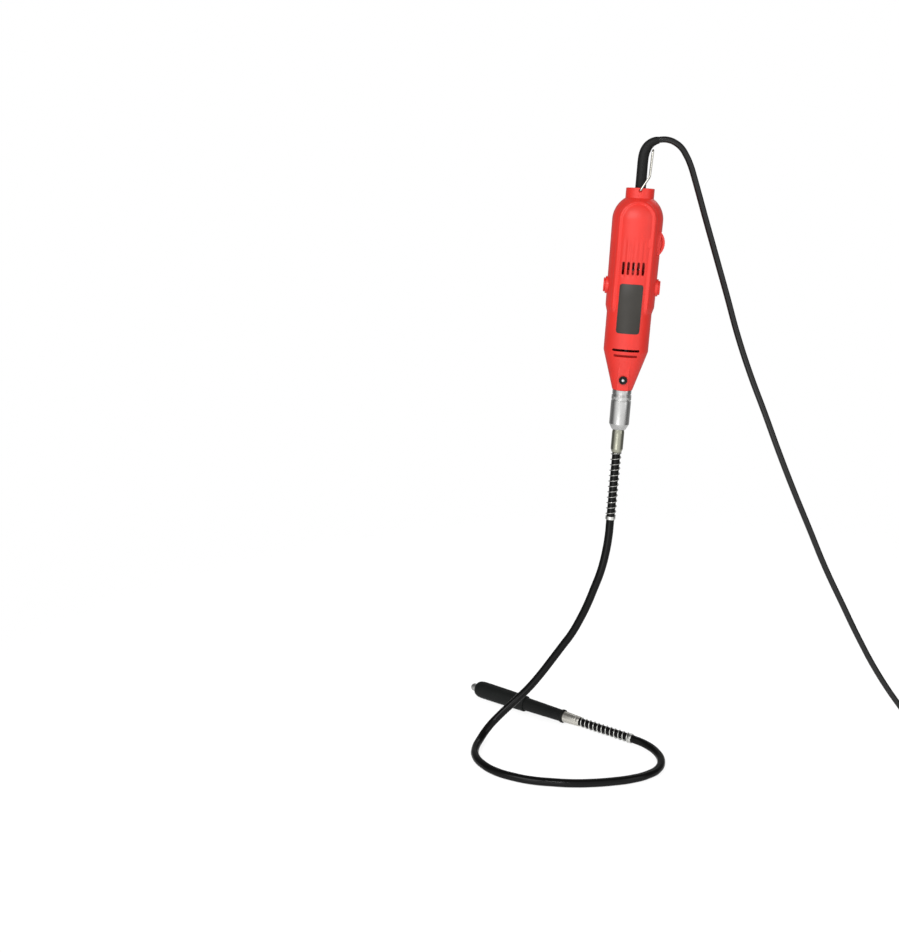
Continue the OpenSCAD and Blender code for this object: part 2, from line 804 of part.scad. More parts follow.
module cavity() {
    translate([0, 0, -dome_s])
        sphere(r = cavity_top_r);
    down(dome_s, step_end, cavity_top_r, cavity_r);
    down(step_end - join, cone_s, cavity_r, cavity_r);
    down(cone_s - 0.01, nose_s, cavity_r, nose_wall_r);
}

module posts() {
    for (p = post_places)
        through_y(p.x, p.y, -past / 2, past / 2, post_d / 2);
}

// Four spokes and a ring that hold the rear bearing
module bearing_carrier() {
    middle_s = rear_bearing_s + rear_bearing_w / 2;
    down(middle_s - carrier_t / 2, middle_s + carrier_t / 2,
        rear_bearing_d / 2 + 3, rear_bearing_d / 2 + 3);
    for (turn = [0, 90])
        translate([0, 0, -middle_s])
            rotate([0, 0, turn])
                cube([past, 5, carrier_t], center = true);
}

module cord_deck() {
    intersection() {
        translate([-past / 2, 0, -clamp_s - 3])
            cube([past, 8, 6]);
        body_form(-wall / 2);
    }
}

module inner_ribs() {
    intersection() {
        union() {
            posts();
            bearing_carrier();
            difference() {
                brush_bosses();
                across(-cap_plug_x + 1, cap_plug_x - 1, boss_d, brush_s);
            }
        }
        body_form(-wall / 2);
    }
}

module upright_vents(count) {
    translate([0, -cavity_r + 4, 0])
        to_front(past)
            for (i = [0:count - 1])
                translate([(i - (count - 1) / 2) * vent_pitch, -vent_s - vent_len / 2])
                    slot_2d(vent_w, vent_len);
}

// The back's upright slots stand between the front's
module vents() {
    upright_vents(vent_count);
    mirror([0, 1, 0])
        upright_vents(vent_count - 1);
    both_sides()
        translate([0, -6, 0])
            to_front(past)
                for (k = [0, 1])
                    translate([0, -outlet_s - k * outlet_pitch])
                        slot_2d(outlet_len - 4 * k, vent_w);
}

module bail_holes() {
    depth = collar_r - bail_grip - 0.3;
    for (side = [-1, 1])
        through_y(0, bail_s, side > 0 ? depth : -past / 2, side > 0 ? past / 2 : -depth,
            bail_wire_d / 2 + bail_play);
}

module bores() {
    // Strain relief and cord
    down(-1, relief_s + 1.5, relief_d / 2 + 0.02, relief_d / 2 + 0.02);
    down(relief_s, clamp_s + 4, cord_r + 0.02, cord_r + 0.02);
    for (x = [-clamp_x, clamp_x])
        through_y(x, clamp_s, -1, 3.2, 1.5);
    down(relief_flange_s - 0.02, relief_flange_s + relief_flange_t + 0.02,
        relief_flange_d / 2 + 0.02, relief_flange_d / 2 + 0.02);
    // Rear bearing and shaft
    down(rear_bearing_s - seam, rear_bearing_s + rear_bearing_w + seam,
        rear_bearing_d / 2 + seam, rear_bearing_d / 2 + seam);
    down(rear_bearing_s - 10, rear_bearing_s + 12, rear_bearing_d / 2 - 2, rear_bearing_d / 2 - 2);
    // Front bearing, socket and bushing
    down(front_bearing_s - seam, front_bearing_s + front_bearing_w + seam,
        front_bearing_d / 2 + seam, front_bearing_d / 2 + seam);
    down(nose_s - 1, housing_len + 1, socket_d / 2 + 0.6, socket_d / 2 + 0.6);
    down(bushing_s - seam, housing_len + 1, thread_r + seam, thread_r + seam);
    down(bushing_s - seam, bushing_s + 2 + seam, thread_r + 1.6, thread_r + 1.6);
    // Brush caps
    across(-past, past, cap_plug_d / 2 + thread_play, brush_s);
}

module screw_holes() {
    for (p = post_places) {
        through_y(p.x, p.y, -seam, screw_seat, screw_d / 2 + 0.15);
        through_y(p.x, p.y, screw_seat, past, screw_head_d / 2 + 0.3);
        through_y(p.x, p.y, screw_seat - screw_len - 0.5, 0, screw_d / 2 + seam);
    }
}

module dial_slot() {
    translate([dial_x, 0, -dial_s])
        rotate([90, 0, 0])
            cylinder(h = dial_t + 2 * dial_gap, r = dial_r + dial_gap, center = true);
}

module dial_posts() {
    intersection() {
        translate([dial_x, -dial_t / 2 - dial_gap, -dial_s])
            rotate([90, 0, 0])
                cylinder(h = past, d = dial_shaft_d + 5);
        body_form(-wall / 2);
    }
}

module lock_hole() {
    through_y(0, lock_s, -past / 2, -lock_floor, lock_d / 2 + lock_play);
    through_y(0, lock_s, -past / 2, 0, lock_pin_d / 2 + lock_play);
}

module housing() {
    difference() {
        union() {
            difference() {
                union() {
                    body_form();
                    down(0, dome_s, collar_r, collar_r);
                    rims();
                    brush_bosses();
                    nose_pad();
                }
                panel_cuts();
                cavity();
                across(-cap_plug_x + 1, cap_plug_x - 1, boss_d / 2 + 1, brush_s);
            }
            inner_ribs();
            dial_posts();
            cord_deck();
        }
        bores();
        bail_holes();
        vents();
        screw_holes();
        dial_slot();
        through_y(dial_x, dial_s, -dial_t / 2 - 6, 0, dial_shaft_d / 2 + 0.05);
        lock_hole();
    }
}

module half_space(side) {
    translate([0, side * past, -housing_len / 2])
        cube([2 * past, 2 * past, housing_len + 20], center = true);
}

module front_shell() {
    color(red)
        at_tool()
            intersection() {
                housing();
                half_space(-1);
            }
}

module back_shell() {
    color(red)
        at_tool()
            intersection() {
                housing();
                half_space(1);
            }
}

module shell_screws() {
    color(steel)
        at_tool()
            for (p = post_places) {
                through_y(p.x, p.y, screw_seat - screw_len, screw_seat, screw_d / 2);
                difference() {
                    through_y(p.x, p.y, screw_seat, screw_seat + screw_head_h, screw_head_d / 2);
                    for (turn = [0, 90])
                        translate([p.x, screw_seat + screw_head_h, -p.y])
                            rotate([0, turn, 0])
                                cube([screw_head_d * 0.6, 1.6, 0.7], center = true);
                }
            }
}

module name_plate() {
    color(graphite)
        at_tool()
            intersection() {
                translate([0, 0, -plate_s - plate_len / 2])
                    to_front(past)
                        round_rect(plate_w, plate_len, plate_corner);
                difference() {
                    union() {
                        down(dome_s, step_end, body_r - panel_depth + plate_t, waist_r + plate_t);
                        down(step_end, cone_s, waist_r + plate_t, waist_r + plate_t);
                    }
                    down(dome_s, step_end, body_r - panel_depth + 0.01, waist_r + 0.01);
                    down(step_end - 0.01, cone_s + 1, waist_r + 0.01, waist_r + 0.01);
                    down(dome_s - 1, dome_s + 0.01, body_r, body_r);
                }
            }
}

module lock_button() {
    color(black)
        at_tool()
            difference() {
                through_y(0, lock_s, -lock_face, -lock_face + lock_button_h, lock_d / 2);
                through_y(0, lock_s, -past / 2, 0, lock_pin_d / 2 + seam);
            }
}

module lock_pin() {
    color(steel)
        at_tool() {
            through_y(0, lock_s, -lock_face - 0.6, -lock_tip, lock_pin_d / 2);
        }
}

module lock_spring() {
    color(silver)
        at_tool()
            difference() {
                through_y(0, lock_s, -lock_face + lock_button_h, -lock_floor, lock_d / 2 - 0.6);
                through_y(0, lock_s, -past / 2, 0, lock_d / 2 - 1.2);
            }
}

module speed_dial() {
    color(red)
        at_tool()
            difference() {
                through_y(dial_x, dial_s, -dial_t / 2, dial_t / 2, dial_r);
                through_y(dial_x, dial_s, -dial_t, dial_t, dial_shaft_d / 2 + seam);
            }
}

module dial_shaft() {
    color(steel)
        at_tool()
            through_y(dial_x, dial_s, -dial_t / 2 - 5.5, board_y - 1.5, dial_shaft_d / 2);
}

module speed_control() {
    color(graphite)
        at_tool()
            difference() {
                through_y(dial_x, dial_s, control_y, board_y, control_d / 2);
                through_y(dial_x, dial_s, control_y - 1, board_y - 1, dial_shaft_d / 2 + 0.05);
            }
}

module control_board() {
    color(board_green)
        at_tool()
            translate([-board_w / 2, board_y, -board_s - board_len])
                cube([board_w, board_t, board_len]);
}

module suppressor_capacitor() {
    color([0.85, 0.75, 0.25])
        at_tool()
            translate([
                capacitor_inset - board_w / 2,
                board_y - capacitor_t,
                -board_s - capacitor_down - capacitor_len
            ])
                cube([capacitor_w, capacitor_t, capacitor_len]);
}

module lead_wires() {
    color([0.35, 0.22, 0.12])
        at_tool()
            for (side = [-1, 1]) {
                rod([side * lead_cord_x, 0, -cord_inner_s - lead_cord_gap],
                    [side * lead_board_x, board_y - lead_d, -board_s - lead_board_down], lead_d / 2);
                rod([side * lead_out_x, board_y - lead_d, -board_s - board_len + lead_out_up],
                    [side * lead_brush_x, brush_t / 2 + holder_wall + lead_d / 2 + 0.05,
                        -brush_s + lead_brush_up], lead_d / 2);
            }
}

module cord_clamp() {
    color(black)
        at_tool()
            difference() {
                translate([-10, -cord_r - 2.4, -clamp_s - 2.5])
                    cube([20, cord_r + 1.8, 5]);
                down(10, 30, cord_r + 0.02, cord_r + 0.02);
                for (x = [-clamp_x, clamp_x])
                    through_y(x, clamp_s, -past, past, 1.5);
            }
}

module cord_clamp_screws() {
    color(steel)
        at_tool()
            for (x = [-clamp_x, clamp_x]) {
                through_y(x, clamp_s, -cord_r - 2.4, 3, 1.45);
                through_y(x, clamp_s, -cord_r - 4.2, -cord_r - 2.4, 2.6);
            }
}

module strain_relief() {
    color(black) {
        at_tool()
            difference() {
                union() {
                    down(0, relief_s, relief_d / 2, relief_d / 2);
                    down(relief_flange_s, relief_s, relief_flange_d / 2, relief_flange_d / 2);
                }
                down(-1, relief_s + 1, cord_r + 0.1, cord_r + 0.1);
            }
        hose(relief_free, [for (i = [0:relief_last]) relief_r(i)], cord_r + 0.3);
    }
}

module bail() {
    r = bail_wire_d / 2;
    leg_y = collar_r + bail_gap + r;
    pivot = tool_point(bail_s);
    kink = [-2.5, 0, -26];
    top = [0, 0, r];
    corner = 3;
    module leg(side) {
        y = [0, side * leg_y, 0];
        points = [
            pivot + [0, side * (collar_r - bail_grip), 0],
            pivot + y,
            kink + y,
            [top.x, side * leg_y, top.z - corner],
            [top.x, side * (leg_y - corner), top.z]
        ];
        for (i = [0:len(points) - 2])
            rod(points[i], points[i + 1], r);
        for (i = [1:len(points) - 1])
            translate(points[i])
                sphere(r = r + 0.04, $fn = 48);
    }
    color(silver) {
        leg(-1);
        leg(1);
        rod([top.x, corner - leg_y, top.z], [top.x, leg_y - corner, top.z], r);
    }
}

module mains_cord() {
    color(black)
        tube(cord_path, cord_r, 10);
}

module cord_coil() {
    color(black)
        tube(coil_path, cord_r, 6);
}

module cord_tail() {
    color(black)
        tube(tail_path, cord_r, 10);
}

module cord_tie() {
    low = -table_drop;
    height = coil_high_z + cord_r + 0.1 + tie_t - low;
    width = coil_out_r - coil_in_r + coil_pitch + cord_d + 0.2 + 2 * tie_t;
    color(black)
        translate([coil_x, coil_y + (coil_out_r + coil_in_r) / 2 + coil_pitch / 4, low + height / 2])
            rotate([90, 0, 90])
                translate([0, 0, -tie_w / 2])
                    linear_extrude(height = tie_w)
                        difference() {
                            round_rect(width, height, 3);
                            round_rect(width - 2 * tie_t, height - 2 * tie_t, 3 - tie_t);
                        }
}

module plug_body() {
    color(black)
        translate([coil_x + coil_out_r, plug_y, plug_z])
            difference() {
                union() {
                    translate([0, 0, -plug_t / 2])
                        linear_extrude(height = plug_t)
                            polygon([
                                [-plug_neck_w / 2, 0], [plug_neck_w / 2, 0],
                                [plug_neck_w / 2, plug_len * 0.28], [plug_w / 2, plug_len * 0.62],
                                [plug_w / 2, plug_len], [-plug_w / 2, plug_len],
                                [-plug_w / 2, plug_len * 0.62], [-plug_neck_w / 2, plug_len * 0.28]
                            ]);
                    rotate([90, 0, 0])
                        cylinder(h = 12, r1 = cord_r + 2, r2 = cord_r + 0.8);
                }
                rotate([90, 0, 0])
                    translate([0, 0, -1])
                        cylinder(h = 14, r = cord_r + 0.1);
                for (x = [-1, 1])
                    translate([x * pin_pitch / 2, plug_len - pin_root, 0])
                        rotate([-90, 0, 0])
                            cylinder(h = pin_root + 1, r = pin_root_r);
            }
}

module plug_pins() {
    color(nickel)
        for (x = [-1, 1])
            translate([coil_x + coil_out_r + x * pin_pitch / 2, plug_y + plug_len, plug_z])
                rotate([-90, 0, 0]) {
                    translate([0, 0, -pin_root])
                        cylinder(h = pin_root + 1, r = pin_root_r);
                    cylinder(h = pin_len - pin_d / 2, r = pin_d / 2);
                    translate([0, 0, pin_len - pin_d / 2])
                        sphere(r = pin_d / 2, $fn = 48);
                }
}

module rear_bearing() {
    color(steel)
        at_tool()
            ring_down(rear_bearing_s, rear_bearing_s + rear_bearing_w,
                rear_bearing_d / 2, journal_d / 2 + play);
}

module front_bearing() {
    color(steel)
        at_tool()
            ring_down(front_bearing_s, front_bearing_s + front_bearing_w,
                front_bearing_d / 2, shaft_r + play);
}

// A slice of a ring, from -half to half degrees about the +X direction
module wedge_2d(half) {
    polygon(concat([[0, 0]], [for (a = [-half:half / 4:half]) past * [cos(a), sin(a)]]));
}

module field_core() {
    color(iron)
        at_tool()
            translate([0, 0, -stack_s - stack_len])
                linear_extrude(height = stack_len)
                    difference() {
                        circle(r = field_r);
                        difference() {
                            circle(r = field_r - yoke_t);
                            for (turn = [90, -90])
                                rotate([0, 0, turn])
                                    wedge_2d(pole_turn);
                        }
                        circle(r = pole_r);
                    }
}

module field_coils() {
    inner_r = pole_r + 0.3;
    color(copper)
        at_tool()
            for (turn = [90, -90])
                rotate([0, 0, turn])
                    translate([0, 0, -stack_s - stack_len - winding_out])
                        difference() {
                            linear_extrude(height = stack_len + 2 * winding_out)
                                intersection() {
                                    difference() {
                                        circle(r = coil_r);
                                        circle(r = inner_r);
                                    }
                                    wedge_2d(coil_turn);
                                }
                            translate([0, 0, winding_out - 0.2])
                                linear_extrude(height = stack_len + 0.4)
                                    wedge_2d(coil_pole_turn);
                        }
}

module brush_holders() {
    outer_x = cap_plug_x - 1.2;
    inner_x = commutator_d / 2 + 1.5;
    color([0.72, 0.60, 0.35])
        at_tool()
            for (side = [0, 1])
                mirror([side, 0, 0])
                    difference() {
                        translate([inner_x, -brush_t / 2 - holder_wall, -brush_s - brush_w / 2 - holder_wall])
                            cube([outer_x - inner_x, brush_t + 2 * holder_wall, brush_w + 2 * holder_wall]);
                        translate([inner_x - 1, -brush_t / 2 - brush_fit, -brush_s - brush_w / 2 - brush_fit])
                            cube([past, brush_t + 2 * brush_fit, brush_w + 2 * brush_fit]);
                    }
}

module carbon_brushes() {
    color(graphite)
        at_tool()
            for (side = [0, 1])
                mirror([side, 0, 0])
                    translate([brush_x, -brush_t / 2, -brush_s - brush_w / 2])
                        cube([brush_len, brush_t, brush_w]);
}

module brush_springs() {
    color(silver)
        at_tool()
            for (side = [0, 1])
                mirror([side, 0, 0])
                    difference() {
                        across(brush_x + brush_len, cap_plug_x - 0.2, brush_t / 2 - 0.4, brush_s);
                        across(0, past, brush_t / 2 - 1, brush_s);
                    }
}

module brush_cap() {
    at_tool()
        difference() {
            union() {
                across(cap_plug_x, cap_x + cap_gap + join, cap_plug_d / 2, brush_s);
                across(cap_x + cap_gap, cap_x + cap_gap + cap_h, cap_d / 2, brush_s);
            }
            translate([cap_x + cap_gap + cap_h, 0, -brush_s])
                cube([1.8, 1.6, 10], center = true);
        }
}

module brush_cap_right() {
    color(red)
        brush_cap();
}

module brush_cap_left() {
    color(red)
        at_tool()
            mirror([1, 0, 0])
                rotate([0, -lean, 0])
                    translate([-collar_x, 0, collar_drop])
                        brush_cap();
}

module motor_shaft() {
    color(steel)
        at_tool()
            difference() {
                union() {
                    down(rear_bearing_s - 2, shaft_step_s, journal_d / 2, journal_d / 2);
                    down(shaft_step_s, shaft_end_s, shaft_r, shaft_r);
                }
            }
}

module commutator() {
    slots = 24;
    color(copper)
        at_tool()
            difference() {
                down(brush_s - commutator_len / 2, brush_s + commutator_len / 2,
                    commutator_d / 2, commutator_d / 2);
                down(brush_s - past, brush_s + past, shaft_r, shaft_r);
                for (i = [0:slots - 1])
                    rotate([0, 0, i * 360 / slots])
                        translate([commutator_d / 2, 0, -brush_s])
                            cube([1.2, 0.4, commutator_len + 1], center = true);
            }
}

module armature_core() {
    slots = 12;
    color(iron)
        at_tool()
            translate([0, 0, -stack_s - stack_len])
                linear_extrude(height = stack_len)
                    difference() {
                        circle(r = armature_d / 2);
                        circle(r = shaft_r);
                        for (i = [0:slots - 1])
                            rotate([0, 0, i * 360 / slots]) {
                                translate([armature_d / 2 - 4, 0])
                                    circle(r = 1.9);
                                translate([armature_d / 2 - 2, -0.7])
                                    square([4, 1.4]);
                            }
                    }
}

module armature_windings() {
    outer_r = armature_d / 2 - 1.4;
    color(copper)
        at_tool() {
            ring_down(stack_s - winding_out, stack_s, outer_r, shaft_r + 0.5);
            ring_down(stack_s + stack_len, stack_s + stack_len + winding_out, outer_r, shaft_r + 0.5);
        }
}

module cooling_fan() {
    plate = 1.5;
    hub_r = shaft_r + 3;
    color(black)
        at_tool()
            difference() {
                union() {
                    down(fan_s, fan_s + plate, fan_d / 2, fan_d / 2);
                    down(fan_s, fan_s + fan_h, hub_r, hub_r);
                    for (i = [0:fan_blades - 1])
                        rotate([0, 0, i * 360 / fan_blades])
                            translate([hub_r - join, -0.7, -fan_s - fan_h])
                                cube([fan_d / 2 - hub_r - 0.5, 1.4, fan_h]);
                }
                down(fan_s - 1, fan_s + fan_h + 1, shaft_r, shaft_r);
            }
}

module drive_socket() {
    color(steel)
        at_tool()
            difference() {
                down(socket_s, nut_s + 15, socket_d / 2, socket_d / 2);
                down(socket_s - 1, shaft_end_s, shaft_r, shaft_r);
                down(tip_s - 0.5, past * 5, drive_tip_d / 2 + seam, drive_tip_d / 2 + seam);
                through_y(0, lock_s, -past / 2, past / 2, lock_pin_d / 2 + 0.3);
            }
}

module nose_bushing() {
    color(steel)
        at_tool()
            difference() {
                union() {
                    down(bushing_s, housing_len + thread_out, thread_r, thread_r);
                    down(bushing_s, bushing_s + 2, thread_r + 1.5, thread_r + 1.5);
                }
                down(bushing_s - 1, housing_len + thread_out + 1, thread_bore_r, thread_bore_r);
                through_y(0, lock_s, -past / 2, 0, lock_pin_d / 2 + lock_play);
            }
}

module coupling_nut() {
    neck_r = nut_neck_d / 2;
    nut_r = nut_d / 2;
    groove_s = nut_s + 6.8;
    band_s = groove_s + 4.6;
    chamfer_s = nut_end - 6.5;
    color(silver)
        at_tool()
            difference() {
                union() {
                    down(nut_s, nut_s + 5, neck_r, neck_r);
                    down(nut_s + 5, groove_s, neck_r + 0.6, neck_r + 0.6);
                    down(groove_s, band_s, nut_r - 0.6, nut_r - 0.6);
                    down(band_s, chamfer_s, nut_r, nut_r);
                    down(chamfer_s, nut_end, nut_r, nut_tip_d / 2);
                }
                down(nut_s - 1, shoulder_s, thread_r + thread_play, thread_r + thread_play);
                down(nut_s, nut_end + 1, ferrule_d / 2 + 0.05, ferrule_d / 2 + 0.05);
            }
}

module upper_ferrule() {
    flange_s = shoulder_s - 0.3 - flange_t;
    color(nickel)
        at_tool()
            difference() {
                union() {
                    down(flange_s, ferrule_end - 3, ferrule_d / 2, ferrule_d / 2);
                    down(flange_s, flange_s + flange_t, flange_d / 2, flange_d / 2);
                    down(ferrule_end - 3, ferrule_end, ferrule_d / 2, ferrule_d / 2 - 1.4);
                }
                down(flange_s - 1, sheath_s, core_d / 2 + 1, core_d / 2 + 1);
                down(sheath_s, ferrule_end + 1, sheath_r + 0.05, sheath_r + 0.05);
            }
}

module upper_spring() {
    color(silver)
        at_tool()
            translate([0, 0, -spring_s - upper_spring_len])
                tube(spring_path(upper_spring_len, spring_turns), spring_wire_d / 2, 6);
}

module upper_end_ring() {
    color(silver)
        at_tool()
            ring_down(upper_ring_s, upper_ring_s + ring_len, ring_d / 2, sheath_r + 0.05);
}

module drive_tip() {
    color(steel)
        at_tool()
            down(tip_s, sheath_s - 0.3, drive_tip_d / 2, drive_tip_d / 2);
}

module flex_sheath() {
    color(black)
        hose(flex_path, sheath_r, sheath_bore / 2);
}

module flex_core() {
    color(steel)
        tube(flex_path, core_d / 2, 8);
}

module core_end() {
    color(steel)
        at_hand()
            along(sheath_end_t + 0.3, spindle_t + 14, core_d / 2, core_d / 2);
}

module lower_end_ring() {
    color(silver)
        at_hand()
            ring_along(0, ring_len, ring_d / 2, sheath_r + 0.05);
}

module lower_spring() {
    color(silver)
        at_hand()
            translate([0, 0, ring_len])
                tube(spring_path(lower_spring_len, spring_turns), spring_wire_d / 2, 6);
}

// Handpiece, from the tail ferrule to the tip
tail_t = ring_len + lower_spring_len + 0.2;
hand_t = tail_t + tail_ferrule_len;
grip_end_t = hand_t + hand_len;
grip_t = grip_end_t - grip_len;
barrel_r = barrel_d / 2;
barrel_t = hand_t + 6;
bearing_r = hand_bearing_d / 2;
rear_bearing_t = grip_t + 6;
front_bearing_t = grip_end_t - 16;
spindle_r = spindle_d / 2;
spindle_t = hand_t + 9;
spindle_end_t = grip_end_t + 3.5;
collet_seat_r = collet_nut_d / 2 - 1.3;
tip_t = grip_end_t + collet_nut_len;
nut_back_t = grip_end_t + 0.3;

module lower_ferrule() {
    color(nickel)
        at_hand()
            difference() {
                union() {
                    along(tail_t, hand_t, tail_ferrule_tip_d / 2, tail_ferrule_d / 2);
                    along(hand_t - join, hand_t + 8, 6, 6);
                }
                along(tail_t - 1, sheath_end_t, sheath_r + 0.05, sheath_r + 0.05);
                along(sheath_end_t - 1, hand_t + 9, core_d / 2 + 1.2, core_d / 2 + 1.2);
            }
}

module handpiece_sleeve() {
    color(black)
        at_hand()
            difference() {
                union() {
                    along(hand_t, hand_t + 4, sleeve_tail_d / 2 + 1, sleeve_tail_d / 2 + 1);
                    along(hand_t + 3, grip_t, sleeve_tail_d / 2, sleeve_d / 2);
                }
                along(hand_t - 1, hand_t + 8, 6.02, 6.02);
                along(hand_t + 7, grip_t + 1, spindle_r + 1, spindle_r + 1);
                along(grip_t - 22, grip_t + 1, barrel_r + seam, barrel_r + seam);
            }
}

module handpiece_grip() {
    // The nose: distances back from the end and the radius at each
    nose = [[11, grip_d / 2], [7, grip_d / 2 - 0.3], [4, grip_d / 2 - 0.9], [1.7, grip_d / 2 - 1.8],
        [0, grip_d / 2 - 3.2]];
    color(black)
        at_hand()
            difference() {
                union() {
                    along(grip_t, grip_end_t - nose[0][0], grip_rear_d / 2, grip_d / 2);
                    for (i = [0:len(nose) - 2])
                        along(grip_end_t - nose[i][0], grip_end_t - nose[i + 1][0],
                            nose[i][1], nose[i + 1][1]);
                }
                along(grip_t - 1, grip_end_t - 4, barrel_r + seam, barrel_r + seam);
                along(grip_t, grip_end_t + 1, collet_nut_d / 2 + 0.5, collet_nut_d / 2 + 0.5);
            }
}

module handpiece_barrel() {
    color(silver)
        at_hand()
            difference() {
                along(grip_t - 21, grip_end_t - 5, barrel_r, barrel_r);
                along(grip_t - 22, grip_end_t - 4, spindle_r + 1, spindle_r + 1);
                along(rear_bearing_t - seam, rear_bearing_t + hand_bearing_w + seam,
                    bearing_r + seam, bearing_r + seam);
                along(front_bearing_t - seam, front_bearing_t + hand_bearing_w + seam,
                    bearing_r + seam, bearing_r + seam);
            }
}

module rear_spindle_bearing() {
    color(steel)
        at_hand()
            ring_along(rear_bearing_t, rear_bearing_t + hand_bearing_w, bearing_r, spindle_r + play);
}

module front_spindle_bearing() {
    color(steel)
        at_hand()
            ring_along(front_bearing_t, front_bearing_t + hand_bearing_w, bearing_r, spindle_r + play);
}

module spindle() {
    color(steel)
        at_hand()
            difference() {
                union() {
                    along(spindle_t, grip_end_t - 3, spindle_r, spindle_r);
                    along(grip_end_t - 3 - join, spindle_end_t, collet_seat_r, collet_seat_r);
                }
                along(spindle_t - 1, spindle_t + 16, core_d / 2 + seam, core_d / 2 + seam);
                along(tip_t - 1 - collet_len, spindle_end_t + 1, collet_d / 2 + seam, collet_d / 2 + seam);
            }
}

module collet() {
    back_t = tip_t - 0.8 - collet_len;
    color(nickel)
        at_hand()
            difference() {
                along(back_t, tip_t - 0.8, collet_d / 2, collet_d / 2);
                along(back_t - 1, tip_t, collet_bore / 2, collet_bore / 2);
                translate([0, 0, tip_t - 0.8 - collet_len / 2 + 2])
                    for (turn = [0, 90])
                        rotate([0, 0, turn])
                            cube([collet_d + 1, 0.5, collet_len], center = true);
            }
}

module collet_nut() {
    r = collet_nut_d / 2;
    color(silver)
        at_hand()
            difference() {
                union() {
                    along(nut_back_t, tip_t - 2, r, r);
                    along(tip_t - 2, tip_t, r, r - 1.6);
                }
                along(nut_back_t - 1, spindle_end_t + 0.3, r - 1.3 + thread_play, r - 1.3 + thread_play);
                along(nut_back_t, tip_t + 1, collet_d / 2 + 0.05, collet_d / 2 + 0.05);
                for (side = [-1, 1])
                    translate([side * r, 0, nut_back_t + 4])
                        cube([0.9, 2 * r, 4.4], center = true);
            }
}

front_shell();
back_shell();
shell_screws();
name_plate();
lock_button();
lock_pin();
lock_spring();
speed_dial();
dial_shaft();
speed_control();
control_board();
suppressor_capacitor();
lead_wires();
cord_clamp();
cord_clamp_screws();
strain_relief();
bail();
mains_cord();
cord_coil();
cord_tail();
cord_tie();
plug_body();
plug_pins();
rear_bearing();
front_bearing();
field_core();
field_coils();
brush_holders();
carbon_brushes();
brush_springs();
brush_cap_left();
brush_cap_right();
motor_shaft();
commutator();
armature_core();
armature_windings();
cooling_fan();
drive_socket();
nose_bushing();
coupling_nut();
upper_ferrule();
upper_spring();
upper_end_ring();
drive_tip();
flex_sheath();
flex_core();
core_end();
lower_end_ring();
lower_spring();
lower_ferrule();
handpiece_sleeve();
handpiece_grip();
handpiece_barrel();
rear_spindle_bearing();
front_spindle_bearing();
spindle();
collet();
collet_nut();
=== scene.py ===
import contextlib
import math

import bmesh
import bpy
from bpy.props import FloatProperty, FloatVectorProperty, IntProperty, PointerProperty
from mathutils import Matrix, Vector


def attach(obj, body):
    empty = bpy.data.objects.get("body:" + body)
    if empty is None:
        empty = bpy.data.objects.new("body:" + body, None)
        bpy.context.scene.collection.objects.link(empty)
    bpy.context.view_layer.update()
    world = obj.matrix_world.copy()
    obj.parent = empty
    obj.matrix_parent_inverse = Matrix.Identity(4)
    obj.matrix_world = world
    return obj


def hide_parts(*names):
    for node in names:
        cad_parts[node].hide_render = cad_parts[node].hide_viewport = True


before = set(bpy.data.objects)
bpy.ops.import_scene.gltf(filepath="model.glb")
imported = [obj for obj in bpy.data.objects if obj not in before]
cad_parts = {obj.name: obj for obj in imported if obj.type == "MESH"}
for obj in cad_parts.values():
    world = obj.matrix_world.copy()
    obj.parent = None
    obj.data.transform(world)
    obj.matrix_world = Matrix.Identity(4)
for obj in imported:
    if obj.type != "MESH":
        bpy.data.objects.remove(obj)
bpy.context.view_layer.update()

bl_info = {
    "name": "Hanging Rotary Tool",
    "version": (1, 0, 0),
    "blender": (4, 5, 0),
    "location": "3D View > Sidebar > Rotary Tool",
    "description": "Dresses a hanging motor unit with its flexible shaft, handpiece and mains cord",
    "category": "Object",
}

# Places in millimetres. The tool's own frame has its axis down -Z from the collar's top, and the
# handpiece's frame has its axis along +Z from the shaft's entry.
MM = 0.001
TO_METRES = Matrix.Scale(MM, 4)
ROOM = Matrix.Identity(4)
TOOL = Matrix.Translation((-12.0, 0.0, -38.0)) @ Matrix.Rotation(math.radians(3.3), 4, "Y")
HAND = (
    Matrix.Translation((1.0, -5.0, -683.9))
    @ Matrix.Rotation(math.radians(148.5), 4, "Z")
    @ Matrix.Rotation(math.radians(90.0), 4, "Y")
)
TABLE = -695.0

# Housing sizes that the CAD solids fix
COLLAR_R, BODY_R, HIP_R, WAIST_R, NOSE_R = 15.5, 27.8, 27.0, 24.9, 11.3
DOME_S, STEP_S, STEP_END, CONE_S, END_S = 34.0, 128.0, 135.0, 177.5, 222.0
FLOOR_R, INNER_R = 26.6, 24.2
RIM_HALF, RIM_CENTRE = 19.0, 33.5
VENT_PITCH, VENT_MIDDLE = 5.4, 86.0
DIAL_X, DIAL_S, BRUSH_S, LOCK_S = 13.996, 58.0, 106.0, 209.6
BAIL_S, DIAL_R, DIAL_SLOT_R, DIAL_SLOT_HALF = 3.0, 18.0, 18.6, 4.6
PLATE_W, PLATE_LEN, PLATE_CENTRE = 25.6, 54.0, 129.8
OUTLETS = ((30.0, 175.6), (26.0, 181.9))
POSTS = ((-15, 30), (15, 30), (-19, 84), (19, 84), (-11.5, 203), (11.5, 203))

# Rings, springs and sheath: sizes, then distances down the tool and along the handpiece
RING_LEN, SPRING_WIRE, SPRING_R = 4.0, 1.3, 5.5
UPPER_SPRING_LEN, LOWER_SPRING_LEN = 76.0, 71.0
SHEATH_START, FERRULE_END, UPPER_RING_END = 266.0, 294.8, 375.0
UPPER_SPRING_END = UPPER_RING_END - RING_LEN
LOWER_SPRING_END = RING_LEN + LOWER_SPRING_LEN
SHEATH_END = 89.0
